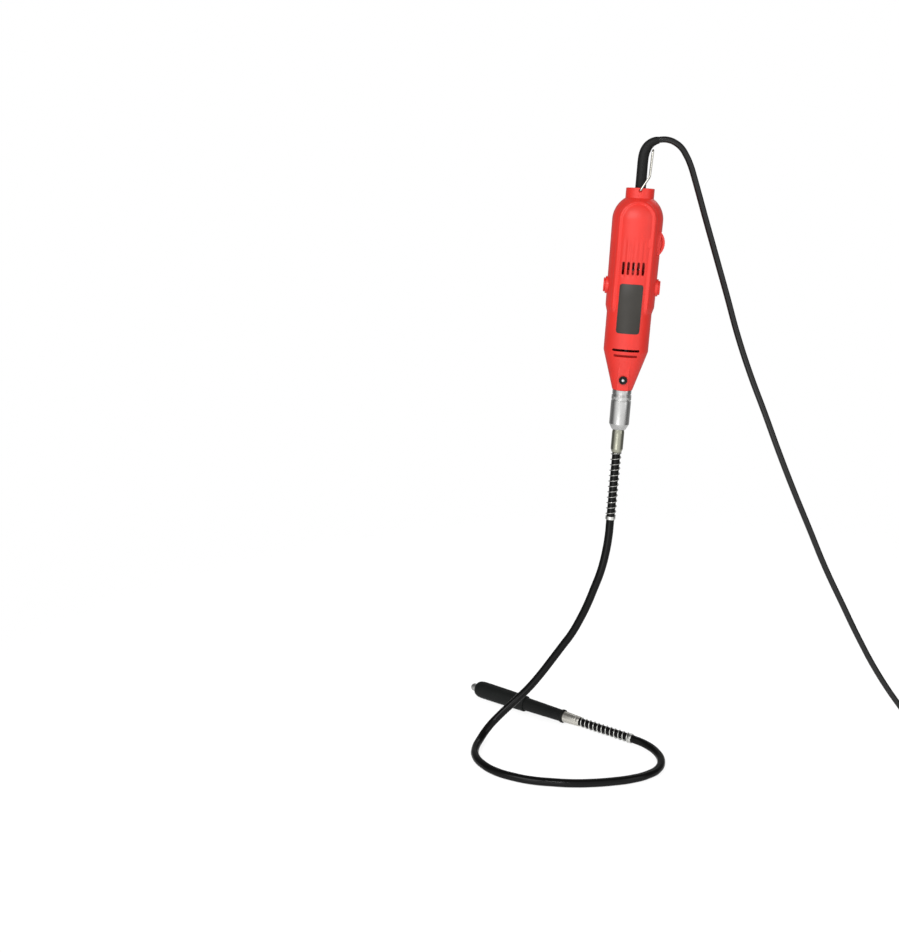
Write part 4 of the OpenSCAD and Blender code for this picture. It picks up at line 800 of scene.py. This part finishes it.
def housing_additions():
    """What stands out from the wall, inside and outside."""
    dial_post = bar(5.0, (DIAL_X, -22.0, -DIAL_S), (DIAL_X, -DIAL_SLOT_HALF, -DIAL_S))
    cord_deck = block((41.0, 8.0, 6.0), (0.0, 4.0, -20.0))
    recess_wall = block((4.6, 6.9, 32.0), (22.5, -8.05, -DIAL_S))
    vent_web = block((48.0, 1.6, 11.6), (0.0, 1.8, -82.9))
    outlet_web = block((45.2, 1.6, 8.4), (0.0, 1.8, -174.2))
    parts = [dial_post, cord_deck, recess_wall, vent_web, outlet_web]
    for x, s in POSTS[:4]:
        reach = math.sqrt((body_radius(s) - 1.0) ** 2 - (abs(x) + 4.0) ** 2)
        parts.append(bar(4.0, (x, -reach, -s), (x, reach, -s)))
    for side in (-1, 1):
        boss = turned("boss", [(0.0, 21.4), (9.5, 21.4), (9.5, 29.19, 0.8), (0.0, 29.19)])
        parts.append(turn_to(boss, lowered(BRUSH_S) @ quarter("Y", side)))
    pad = block((1, 1, 1), (0, 0, 0))
    for vertex in pad.data.vertices:
        upper = vertex.co.z > 0
        front = vertex.co.y < 0
        vertex.co = (
            math.copysign(6.5, vertex.co.x),
            (-19.0 if upper else -12.8) if front else -2.0,
            -195.0 if upper else -END_S + 0.02,
        )
    parts.append(bevelled(pad, 0.5, 3))
    return parts


def screw_tool(x, s):
    """The cut for one screw, with its head's counterbore to the back."""
    outline = [(0.0, -8.5), (1.6, -8.5), (1.6, 6.0), (3.1, 6.0), (3.1, 40.0), (0.0, 40.0)]
    tool = turned("screw_tool", outline, 40)
    return turn_to(tool, Matrix.Translation((x, 0, -s)) @ quarter("X", -1))


def housing_cuts(sizes):
    """Vents, outlets, bail holes, screw holes, and room for the dial, cord, shaft, lock and brushes."""
    width = sizes.vent_width * 1000
    tools = []
    for side, count, share in ((-1, 5, 1.0), (1, 4, 0.8)):
        for i in range(count):
            x = (i - (count - 1) / 2) * VENT_PITCH
            tools.append(slot_tool(share * width, 14.0, (x, side * 29.0, -VENT_MIDDLE), 22.0))
        for long, s in OUTLETS:
            tools.append(slot_tool(width, long, (0.0, side * 26.0, -s), 26.0, math.pi / 2))
        hole = [(0.0, 10.6), (1.18, 10.6), (1.18, 14.6), (2.2, 15.7), (2.2, 20.0), (0.0, 20.0)]
        tools.append(turn_to(turned("bail_hole", hole, 32), lowered(BAIL_S) @ quarter("X", -side)))
    tools.extend(screw_tool(x, s) for x, s in POSTS)
    tools.append(bar(
        DIAL_SLOT_R, (DIAL_X, -DIAL_SLOT_HALF, -DIAL_S), (DIAL_X, DIAL_SLOT_HALF, -DIAL_S), 160
    ))
    tools.append(bar(2.55, (DIAL_X, -10.0, -DIAL_S), (DIAL_X, 0.0, -DIAL_S), 32))
    thumb_recess = block((14.0, 26.0, 26.0), (30.3, -17.5, -DIAL_S))
    tools.append(bevelled(thumb_recess, 1.2))
    for radius, top, end, sides in ((3.32, 8.0, 24.0, 40), (5.2, 169.0, 179.0, 48), (4.4, 76.0, 88.0, 48)):
        tools.append(bar(radius, (0.0, 0.0, -top), (0.0, 0.0, -end), sides))
    lock = [(0.0, 0.0), (1.78, 0.0), (1.78, 8.6), (4.73, 8.6), (4.73, 30.0), (0.0, 30.0)]
    tools.append(turn_to(turned("lock_tool", lock, 64), lowered(LOCK_S) @ TO_FRONT))
    tools.append(bar(5.55, (-60, 0, -BRUSH_S), (60, 0, -BRUSH_S), 64))
    return tools


class ROTARY_TOOL_OT_housing(bpy.types.Operator):
    """Moulds the housing and splits it into its two halves"""

    bl_idname = "rotary_tool.housing"
    bl_label = "Housing Halves"

    def execute(self, context):
        sizes = context.scene.rotary_tool_sizes
        whole = housing_blank()
        raise_relief(whole, sizes)
        carve(whole, joined(housing_additions()), "UNION")
        carve(whole, bar(12.5, (0, 0, -88.2), (0, 0, -95.8), 64), "UNION")
        for spoke in ((47.0, 5.0, 7.4), (5.0, 47.0, 7.2)):
            carve(whole, block(spoke, (0, 0, -92)), "UNION")
        carve(whole, joined(housing_cuts(sizes)))
        carve(whole, bar(9.52, (0, 0, -87.0), (0, 0, -97.0), 96))
        gap = sizes.seam * 500
        for name, node, side in (("front_half", "front_shell", -1), ("back_half", "back_shell", 1)):
            half = copied(whole, name)
            carve(half, block((120, 60, 260), (0, side * (30 + gap), -111)), "INTERSECT")
            settle(half, TOOL, "red_plastic", node, smooth=30.0)
        bpy.data.objects.remove(whole)
        return {"FINISHED"}


class ROTARY_TOOL_OT_plate(bpy.types.Operator):
    """Cuts the bare plate and lays it on the panel"""

    bl_idname = "rotary_tool.plate"
    bl_label = "Name Plate"

    def execute(self, context):
        corner = context.scene.rotary_tool_sizes.plate_corner * 1000
        plate = prism("plate", round_rect(PLATE_W, PLATE_LEN, corner, 8), 0.0, 40.0)
        turn_to(plate, lowered(PLATE_CENTRE) @ TO_FRONT)
        skin = [(floor_radius(s) + 0.5, s) for s in (100.0, 120.0, STEP_END + 0.5, 165.0)]
        back = [(floor_radius(s) + 0.005, s) for s in (165.0, STEP_END + 0.5, 120.0, 100.0)]
        carve(plate, turned("skin", [(r, -s) for r, s in skin + back], 288), "INTERSECT")
        bevelled(plate, 0.14, 2, 50.0)
        settle(plate, TOOL, "label", "name_plate", smooth=25.0)
        return {"FINISHED"}


class ROTARY_TOOL_OT_dial(bpy.types.Operator):
    """Makes the ridged speed dial"""

    bl_idname = "rotary_tool.dial"
    bl_label = "Speed Dial"

    def execute(self, context):
        sizes = context.scene.rotary_tool_sizes
        around, ridge = 2 * sizes.dial_ridges, sizes.dial_ridge * 1000
        rim = DIAL_R - ridge
        outline = [
            (2.52, -3.6), (6.0, -3.6, 0.3), (6.6, -2.8, 0.3), (14.6, -2.8, 0.4), (15.4, -4.0, 0.3),
            (rim, -4.0, 0.9), (rim, 4.0, 0.9), (15.4, 4.0, 0.3), (14.6, 2.8, 0.4), (6.6, 2.8, 0.3),
            (6.0, 3.6, 0.3), (2.52, 3.6),
        ]
        dial = turned("thumb_dial", outline, around)
        ridged(dial, around, lambda c: c.xy.length > rim - 0.15, ridge)
        turn_to(dial, Matrix.Translation((DIAL_X, 0, -DIAL_S)) @ TO_FRONT)
        settle(dial, TOOL, "red_plastic", "speed_dial", "speed_dial", smooth=28.0)
        return {"FINISHED"}


class ROTARY_TOOL_OT_brush_caps(bpy.types.Operator):
    """Makes one slotted brush cap and copies it to the other side"""

    bl_idname = "rotary_tool.brush_caps"
    bl_label = "Brush Caps"

    def execute(self, context):
        cap = turned("cap", [
            (0.0, 22.4), (5.5, 22.4, 0.4), (5.5, 29.387), (7.8, 29.387, 0.15), (7.8, 31.187, 0.6),
            (4.6, 31.187, 0.2), (4.4, 31.0, 0.2), (0.0, 31.0),
        ])
        carve(cap, block((10.0, 1.6, 1.5), (0, 0, 31.037)))
        for side, name in ((1, "right"), (-1, "left")):
            node = f"brush_cap_{name}"
            twin = copied(cap, f"{node}_screw", quarter("Y", side))
            settle(twin, TOOL @ lowered(BRUSH_S), "red_plastic", node, node)
        bpy.data.objects.remove(cap)
        return {"FINISHED"}


class ROTARY_TOOL_OT_lock(bpy.types.Operator):
    """Makes the spindle lock's dished button and its pin"""

    bl_idname = "rotary_tool.lock"
    bl_label = "Spindle Lock"

    def execute(self, context):
        at = TOOL @ lowered(LOCK_S) @ TO_FRONT
        button = turned("lock_cap", [
            (1.72, 12.8), (4.65, 12.8, 0.2), (4.65, 18.548, 0.7), (3.7, 18.548, 0.5), (2.7, 17.85, 0.4),
            (1.72, 17.85),
        ], 72)
        settle(button, at, "black_plastic", "lock_button", "spindle_lock")
        pin = turned("lock_rod", [(0.0, 6.1), (1.7, 6.1, 0.3), (1.7, 19.148, 0.7), (0.0, 19.148)], 48)
        settle(pin, at, "steel", "lock_pin", "spindle_lock")
        return {"FINISHED"}


class ROTARY_TOOL_OT_bail(bpy.types.Operator):
    """Bends the wire bail"""

    bl_idname = "rotary_tool.bail"
    bl_label = "Wire Bail"

    def execute(self, context):
        pivot = tool_point(BAIL_S)
        leg = [
            (pivot.x, 10.95, pivot.z), (pivot.x, 17.1, pivot.z, 2.0), (-2.5, 17.1, -26.0, 4.0),
            (0.0, 17.1, 1.1, 3.4),
        ]
        corners = leg + [(c[0], -c[1], *c[2:]) for c in reversed(leg)]
        points = spaced(rounded(corners, 8, closed=False, size=3), 3.0)
        wire = tube("bail_loop", points, 2.2, 16)
        settle(wire, ROOM, "bail_wire", "bail", "bail", smooth=50.0)
        return {"FINISHED"}


class ROTARY_TOOL_OT_nut(bpy.types.Operator):
    """Turns the coupling nut with its grooves and knurled ring, and the ferrule below it"""

    bl_idname = "rotary_tool.nut"
    bl_label = "Nut and Upper Ferrule"

    def execute(self, context):
        nut = turned("drive_nut", down([
            (7.55, 222.3), (10.7, 222.3, 0.4), (10.7, 226.9, 0.2), (10.0, 227.3, 0.1), (10.0, 228.1, 0.1),
            (11.2, 228.5, 0.2), (11.2, 229.1, 0.1), (10.3, 229.3, 0.1), (10.3, 229.7, 0.1),
            (10.9, 229.9, 0.1), (10.9, 233.3, 0.1), (10.3, 233.6, 0.1), (10.3, 234.5, 0.1),
            (11.3, 234.9, 0.3), (11.3, 261.5, 0.8), (7.8, 268.0, 0.4), (7.02, 268.0), (7.02, 261.8),
            (7.55, 261.6),
        ]), 120)
        ridged(nut, 120, lambda c: c.xy.length > 10.75 and -233.2 < c.z < -230.0, 0.28)
        settle(nut, TOOL, "aluminium", "coupling_nut", "coupling_nut", smooth=28.0)
        ferrule = turned("ferrule_upper", down([
            (4.76, 258.3), (7.4, 258.3), (7.4, 261.3), (6.6, 261.3), (6.6, 269.0, 3.0),
            (6.95, 272.0, 3.0), (6.95, 291.0, 1.2), (5.55, FERRULE_END, 0.2), (4.76, FERRULE_END),
        ]))
        settle(ferrule, TOOL, "nickel", "upper_ferrule")
        return {"FINISHED"}


def spring_points(long, turns):
    """A wound spring that stands on z = 0, with its ends closed."""
    wire, shut = SPRING_WIRE, 0.25
    pitch = (long - wire - 2 * shut * wire) / (turns - 2 * shut)
    points = []
    for i in range(16 * turns + 1):
        turn = i / 16
        height = wire / 2 + wire * min(turn, shut) + pitch * min(max(turn - shut, 0), turns - 2 * shut)
        height += wire * max(turn - (turns - shut), 0)
        angle = 2 * math.pi * turn
        points.append((SPRING_R * math.cos(angle), SPRING_R * math.sin(angle), height))
    return points


class ROTARY_TOOL_OT_springs(bpy.types.Operator):
    """Winds the two bend guard springs and turns their end rings"""

    bl_idname = "rotary_tool.springs"
    bl_label = "Springs and Rings"

    def execute(self, context):
        turns = context.scene.rotary_tool_sizes.spring_turns
        ring = turned("ring", [
            (4.76, 0.0, 0.2), (5.8, 0.0, 0.5), (5.8, RING_LEN, 0.5), (4.76, RING_LEN, 0.2),
        ], 64)
        # The upper spring takes the darker copy of the spring steel, a painted shade; the lower one takes
        # the plain spring steel
        for end, long, spring_at, ring_at, surface in (
            ("upper", UPPER_SPRING_LEN, TOOL @ lowered(UPPER_SPRING_END), TOOL @ lowered(UPPER_RING_END),
             "shaded_spring"),
            ("lower", LOWER_SPRING_LEN, HAND @ lowered(-RING_LEN), HAND, "spring_steel"),
        ):
            spring = tube(f"guard_spring_{end}", spring_points(long, turns), SPRING_WIRE, 10)
            settle(spring, spring_at, surface, f"{end}_spring", smooth=60.0)
            settle(copied(ring, f"end_ring_{end}"), ring_at, "spring_steel", f"{end}_end_ring")
        bpy.data.objects.remove(ring)
        return {"FINISHED"}


class ROTARY_TOOL_OT_handpiece(bpy.types.Operator):
    bl_idname = "rotary_tool.handpiece"
    bl_label = "Handpiece"

    def execute(self, context):
        ferrule = turned("ferrule_lower", [
            (4.76, 75.2), (6.0, 75.2, 0.5), (6.2, 79.0, 0.3), (5.8, 79.4, 0.1), (5.8, 80.2, 0.1),
            (6.25, 80.6, 0.2), (7.0, 98.4, 0.4), (6.7, 99.1), (6.0, 99.1), (6.0, 107.2), (3.1, 107.2),
            (3.1, SHEATH_END), (4.76, SHEATH_END),
        ])
        settle(ferrule, HAND, "bright_nickel", "lower_ferrule")
        sleeve = turned("sleeve", [
            (6.05, 99.2), (8.4, 99.2, 0.9), (8.4, 102.8, 1.0), (7.42, 103.8, 0.6), (8.5, 159.1, 0.4),
            (7.03, 159.1), (7.03, 137.2), (4.0, 137.2), (4.0, 107.3), (6.05, 107.3),
        ])
        settle(sleeve, HAND, "grip_rubber", "handpiece_sleeve")
        nose = [
            (7.55 + 3.45 * math.cos(a), 228.2 + 11.0 * math.sin(a))
            for a in (math.pi / 2 * k / 14 for k in range(15))
        ]
        grip = turned("grip", [
            (7.03, 159.2), (10.2, 159.2, 1.6), (10.8, 200.0, 60.0), *nose, (5.52, 239.2), (5.52, 235.3),
            (7.03, 235.2),
        ])
        settle(grip, HAND, "grip_rubber", "handpiece_grip")
        flat = context.scene.rotary_tool_sizes.collet_flat * 1000
        nut = turned("tip_nut", [
            (3.75, 239.5), (5.0, 239.5, 0.2), (5.0, 245.8, 0.6), (3.4, 248.7, 0.4), (2.56, 248.7),
            (2.56, 243.1), (3.75, 243.0),
        ], 72)
        for side in (-1, 1):
            carve(nut, block((2.0, 12.0, 4.4), (side * (6.0 - flat), 0, 243.5)))
        settle(nut, HAND, "hand_steel", "collet_nut", "collet_nut")
        return {"FINISHED"}


def coil_points():
    """The spare cord: in on the upper layer, down half a turn, out on the lower one."""
    inner, sway = COIL_R - COIL_TURNS * COIL_PITCH, 1.4
    points = []
    for i in range(int(16 * (2 * COIL_TURNS + 0.5)) + 1):
        turn = i / 16
        if turn < COIL_TURNS:
            radius, height = COIL_R - turn * COIL_PITCH, COIL_HIGH
        elif turn < COIL_TURNS + 0.5:
            share = turn - COIL_TURNS
            radius = inner - sway * math.sin(2 * math.pi * share)
            height = COIL_HIGH - COIL_PITCH * (1 - math.cos(2 * math.pi * share)) / 2
        else:
            radius, height = inner + (turn - COIL_TURNS - 0.5) * COIL_PITCH, COIL_LOW
        angle = 2 * math.pi * turn
        points.append((
            COIL_X + radius * math.sin(angle), COIL_R - radius * math.cos(angle), height
        ))
    return points


class ROTARY_TOOL_OT_cords(bpy.types.Operator):
    """Lays the mains cord and the flexible shaft's outer hose"""

    bl_idname = "rotary_tool.cords"
    bl_label = "Cord and Shaft"

    def execute(self, context):
        plug_x, plug_y, plug_z = PLUG
        rise = [
            (plug_x, CORD_RISE_Y + CORD_RISE_LEN * k,
             COIL_LOW + (plug_z - COIL_LOW) * (1 - math.cos(math.pi * k)) / 2)
            for k in (0.0, 0.33, 0.67, 1.0)
        ]
        route = [
            *(tool_point(s) for s in (27.0, 14.0, 0.0, -12.0)), *RELIEF_ROUTE, *CORD_ROUTE,
            (COIL_X - COIL_LEAD_IN, 0.0, COIL_HIGH), *coil_points(), *rise, PLUG,
        ]
        points = [tuple(Vector(p) * MM) for p in route]
        mains = drawn_line("mains_lead", points, 2 * CORD_R * MM, 16, "BEZIER", 5)
        mains.data.materials.append(finish("cord_rubber"))
        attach(mains, "motor_unit")
        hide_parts("mains_cord", "cord_coil", "cord_tail")
        route = [
            *(tool_point(s) for s in (
                SHEATH_START, FERRULE_END, UPPER_SPRING_END - UPPER_SPRING_LEN / 2, UPPER_RING_END
            )),
            *SHAFT_ROUTE,
            *(hand_point(t) for t in (
                0.0, RING_LEN + LOWER_SPRING_LEN / 2, LOWER_SPRING_END, SHEATH_END
            )),
        ]
        points = [tuple(Vector(p) * MM) for p in route]
        sheath = drawn_line("shaft_sheath", points, SHEATH_D, 20, "BEZIER", 7)
        sheath.data.materials.append(finish("sheath_rubber"))
        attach(sheath, "motor_unit")
        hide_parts("flex_sheath")
        return {"FINISHED"}


class ROTARY_TOOL_OT_strain_relief(bpy.types.Operator):
    """Moulds the rubber sleeve that bends with the cord over the hook"""

    bl_idname = "rotary_tool.strain_relief"
    bl_label = "Strain Relief"

    def execute(self, context):
        points = [tool_point(2.0), tool_point(-12.0), *RELIEF_ROUTE, CORD_ROUTE[0], (6.0, 0.0, 12.4)]
        radii = [5.86, 5.83, 5.8, 5.77, 5.74, 5.6, 5.0, 4.3, 3.7]
        sleeve = tube("cord_sleeve", points, 2.0, 32, radii, "BEZIER", 6)
        lip = turned("lip", [(5.0, -1.5), (5.9, -1.5), (5.9, 0.4, 0.4), (5.0, 0.4)], 64)
        turn_to(lip, TOOL)
        settle(joined([sleeve, lip]), ROOM, "relief_rubber", "strain_relief", smooth=40.0)
        return {"FINISHED"}


class ROTARY_TOOL_OT_plug(bpy.types.Operator):
    bl_idname = "rotary_tool.plug"
    bl_label = "Plug and Tie"

    def execute(self, context):
        at = Matrix.Translation(PLUG)
        body = prism("plug_moulding", [
            (-7.5, 0.0), (7.5, 0.0), (7.5, 9.5), (17.5, 21.1), (17.5, PLUG_LEN), (-17.5, PLUG_LEN),
            (-17.5, 21.1), (-7.5, 9.5),
        ], -PLUG_HALF, PLUG_HALF)
        bevelled(body, 2.2, 5)
        boot = turned("boot", [
            (3.42, -1.0), (5.0, -1.0), (5.0, 1.0, 0.4), (4.5, 1.4, 0.2), (4.5, 2.4, 0.2), (5.1, 2.8, 0.3),
            (5.1, 4.8, 0.3), (4.6, 5.2, 0.2), (4.6, 6.2, 0.2), (5.3, 6.6, 0.3), (5.3, 12.5), (3.42, 12.5),
        ], 64)
        turn_to(boot, Matrix.Translation((0, -12.0, 0)) @ quarter("X", -1))
        carve(body, boot, "UNION")
        settle(body, at, "relief_rubber", "plug_body")
        pin = turned("pin", [
            (0.0, -8.0), (1.6, -8.0), (1.6, 0.0), (2.0, 0.0), (2.0, 19.0, 1.9), (0.0, 19.0),
        ], 40, 8)
        twin = copied(pin, "pin_right", Matrix.Translation((2 * PIN_X, 0, 0)))
        pins = joined([turn_to(pin, ROOM), twin])
        pins.name = "plug_prongs"
        settle(
            pins, at @ Matrix.Translation((-PIN_X, PLUG_LEN, 0)) @ quarter("X", -1),
            "plug_pins", "plug_pins",
        )
        band = prism("tie_band", round_rect(TIE_W, TIE_H, 3.0), -6.0, 6.0)
        inside = round_rect(TIE_W - 2 * TIE_WALL, TIE_H - 2 * TIE_WALL, 3.0 - TIE_WALL)
        carve(band, prism("inside", inside, -7.0, 7.0))
        bevelled(band, 0.2, 2, 50.0)
        turn_to(band, quarter("Z") @ TO_FRONT)
        band_at = Matrix.Translation((COIL_X, TIE_Y, TABLE + TIE_H / 2))
        settle(band, band_at, "black_plastic", "cord_tie")
        return {"FINISHED"}


INSIDE = {
    "steel": ("shell_screws", "nose_bushing"),
    "inner_steel": ("dial_shaft", "cord_clamp_screws", "rear_bearing", "front_bearing", "motor_shaft",
                    "drive_socket", "drive_tip"),
    "hand_steel": ("core_end", "rear_spindle_bearing", "front_spindle_bearing", "spindle"),
    "shaft_core": ("flex_core",),
    "spring_steel": ("lock_spring", "brush_springs"),
    "black_plastic": ("speed_control", "cord_clamp", "cooling_fan"),
    "board": ("control_board",),
    "film_cap": ("suppressor_capacitor",),
    "lead_brown": ("lead_wires",),
    "iron": ("field_core", "armature_core"),
    "copper": ("field_coils", "armature_windings"),
    "segments": ("commutator",),
    "brass": ("brush_holders",),
    "graphite": ("carbon_brushes",),
    "barrel_aluminium": ("handpiece_barrel",),
    "bright_nickel": ("collet",),
}


class ROTARY_TOOL_OT_inside(bpy.types.Operator):
    """Gives the pieces inside the housing and the handpiece their finishes"""

    bl_idname = "rotary_tool.inside"
    bl_label = "Inner Pieces"

    def execute(self, context):
        for surface, nodes in INSIDE.items():
            for name in nodes:
                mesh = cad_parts[name].data
                mesh.materials.clear()
                mesh.materials.append(finish(surface))
        return {"FINISHED"}


def soft_light(name, place, aim, size, power):
    put_down()
    bpy.ops.object.light_add(type="AREA", location=place)
    light = bpy.context.object
    light.name = name
    light.data.shape = "RECTANGLE"
    light.data.size, light.data.size_y = size
    light.data.energy = power
    light.rotation_euler = (Vector(aim) - Vector(place)).to_track_quat("-Z", "Y").to_euler()


def lay_floor(tone):
    """A pale disc that fades out into the backdrop, so that only its soft shadow shows."""
    put_down()
    bpy.ops.mesh.primitive_circle_add(
        vertices=128, radius=GROUND_R, fill_type="NGON", location=GROUND_AT
    )
    floor = bpy.context.object
    floor.name = "floor"
    with editing(floor):
        bpy.ops.mesh.select_all(action="SELECT")
        bpy.ops.mesh.inset(thickness=1.0)
    paint = Finish("floor_sheet", tone, 0.75, specular=0.1)
    paint.feed("Roughness", 0.7 + paint.noise(6.0) * 0.1)
    paint.shader.inputs["Emission Color"].default_value = (1.0, 1.0, 1.0, 1.0)
    paint.shader.inputs["Emission Strength"].default_value = 0.62
    reach = paint.node("ShaderNodeVectorMath", {"operation": "LENGTH"}, {0: paint.place()}, "Value")
    paint.feed("Alpha", 0.5 - reach.step(0.45, 1.1) * 0.5)
    floor.data.materials.append(paint.material)


def hang_backdrop():
    """White for the camera, and a bright front with grey sides for what the metal mirrors."""
    world = bpy.data.worlds.new("studio")
    bpy.context.scene.world = world
    world.use_nodes = True
    nodes, links = world.node_tree.nodes, world.node_tree.links
    nodes.clear()
    output, mix, path, white, room, place, split, ramp, share = (
        nodes.new(f"ShaderNode{kind}") for kind in (
            "OutputWorld", "MixShader", "LightPath", "Background", "Background", "TexCoord",
            "SeparateXYZ", "ValToRGB", "MapRange",
        )
    )
    white.inputs["Color"].default_value = (1.0, 1.0, 1.0, 1.0)
    white.inputs["Strength"].default_value = 1.0
    room.inputs["Strength"].default_value = 1.0
    stops = ramp.color_ramp.elements
    stops[0].position, stops[0].color = 0.0, (1.0, 1.0, 1.0, 1.0)
    stops[1].position, stops[1].color = 1.0, (0.40, 0.40, 0.40, 1.0)
    for position, tone in ((0.16, 0.85), (0.42, 0.16), (0.62, 0.13)):
        stops.new(position).color = (tone, tone, tone, 1.0)
    share.inputs["From Min"].default_value = -1.0
    share.inputs["From Max"].default_value = 1.0
    for start, end in (
        (place.outputs["Generated"], split.inputs[0]), (split.outputs["Y"], share.inputs["Value"]),
        (share.outputs[0], ramp.inputs[0]), (ramp.outputs[0], room.inputs["Color"]),
        (path.outputs["Is Camera Ray"], mix.inputs[0]), (room.outputs[0], mix.inputs[1]),
        (white.outputs[0], mix.inputs[2]), (mix.outputs[0], output.inputs[0]),
    ):
        links.new(start, end)


class ROTARY_TOOL_OT_stage(bpy.types.Operator):
    """Sets up the camera, the floor, the backdrop and the lights"""

    bl_idname = "rotary_tool.stage"
    bl_label = "Stage"

    def execute(self, context):
        look = context.scene.rotary_tool_stage
        put_down()
        bpy.ops.object.camera_add(
            location=CAMERA_AT, rotation=(math.radians(CAMERA_TILT), 0.0, math.radians(CAMERA_TURN))
        )
        camera = context.object
        camera.name = "view"
        camera.data.lens = CAMERA_LENS
        camera.data.sensor_width = 36.0
        context.scene.camera = camera
        context.scene.view_settings.view_transform = "Standard"
        lay_floor(look.floor_tone)
        hang_backdrop()
        soft_light("key", (-0.9, -1.5, 0.7), MIDDLE, (1.1, 1.1), look.key_power)
        soft_light("fill", (1.5, -0.9, 0.2), MIDDLE, (0.7, 1.4), look.fill_power)
        soft_light("rim", (0.4, 1.4, 0.9), MIDDLE, (1.2, 0.6), look.fill_power)
        soft_light("low", (-0.25, -0.85, -0.60), (-0.02, 0.0, -0.2), (0.5, 0.3), look.low_power)
        soft_light("gloss", (-0.1, -1.3, 0.42), (-0.09, -0.117, -0.69), (0.14, 0.06), look.gloss_power)
        return {"FINISHED"}


class ROTARY_TOOL_PT_panel(bpy.types.Panel):
    """Sizes, colours and steps of the rotary tool"""

    bl_idname = "ROTARY_TOOL_PT_panel"
    bl_label = "Rotary Tool"
    bl_space_type = "VIEW_3D"
    bl_region_type = "UI"
    bl_category = "Rotary Tool"

    def draw(self, context):
        scene = context.scene
        for group in (scene.rotary_tool_sizes, scene.rotary_tool_colours, scene.rotary_tool_stage):
            box = self.layout.box()
            for name in group.__annotations__:
                box.prop(group, name)
        for step in STEPS:
            self.layout.operator(f"rotary_tool.{step}")


STEPS = (
    "stage", "cords", "strain_relief", "plug", "springs", "handpiece", "nut", "housing", "plate",
    "dial", "brush_caps", "lock", "bail", "inside",
)
CLASSES = (
    RotaryToolSizes, RotaryToolColours, RotaryToolStage, ROTARY_TOOL_OT_stage, ROTARY_TOOL_OT_cords,
    ROTARY_TOOL_OT_strain_relief, ROTARY_TOOL_OT_plug, ROTARY_TOOL_OT_springs,
    ROTARY_TOOL_OT_handpiece, ROTARY_TOOL_OT_nut, ROTARY_TOOL_OT_housing, ROTARY_TOOL_OT_plate,
    ROTARY_TOOL_OT_dial, ROTARY_TOOL_OT_brush_caps, ROTARY_TOOL_OT_lock, ROTARY_TOOL_OT_bail,
    ROTARY_TOOL_OT_inside, ROTARY_TOOL_PT_panel,
)


def register():
    for item in CLASSES:
        bpy.utils.register_class(item)
    bpy.types.Scene.rotary_tool_sizes = PointerProperty(type=RotaryToolSizes)
    bpy.types.Scene.rotary_tool_colours = PointerProperty(type=RotaryToolColours)
    bpy.types.Scene.rotary_tool_stage = PointerProperty(type=RotaryToolStage)


def unregister():
    del bpy.types.Scene.rotary_tool_stage
    del bpy.types.Scene.rotary_tool_colours
    del bpy.types.Scene.rotary_tool_sizes
    for item in reversed(CLASSES):
        bpy.utils.unregister_class(item)


def main():
    register()
    for step in STEPS:
        getattr(bpy.ops.rotary_tool, step)()


if __name__ == "__main__":
    main()
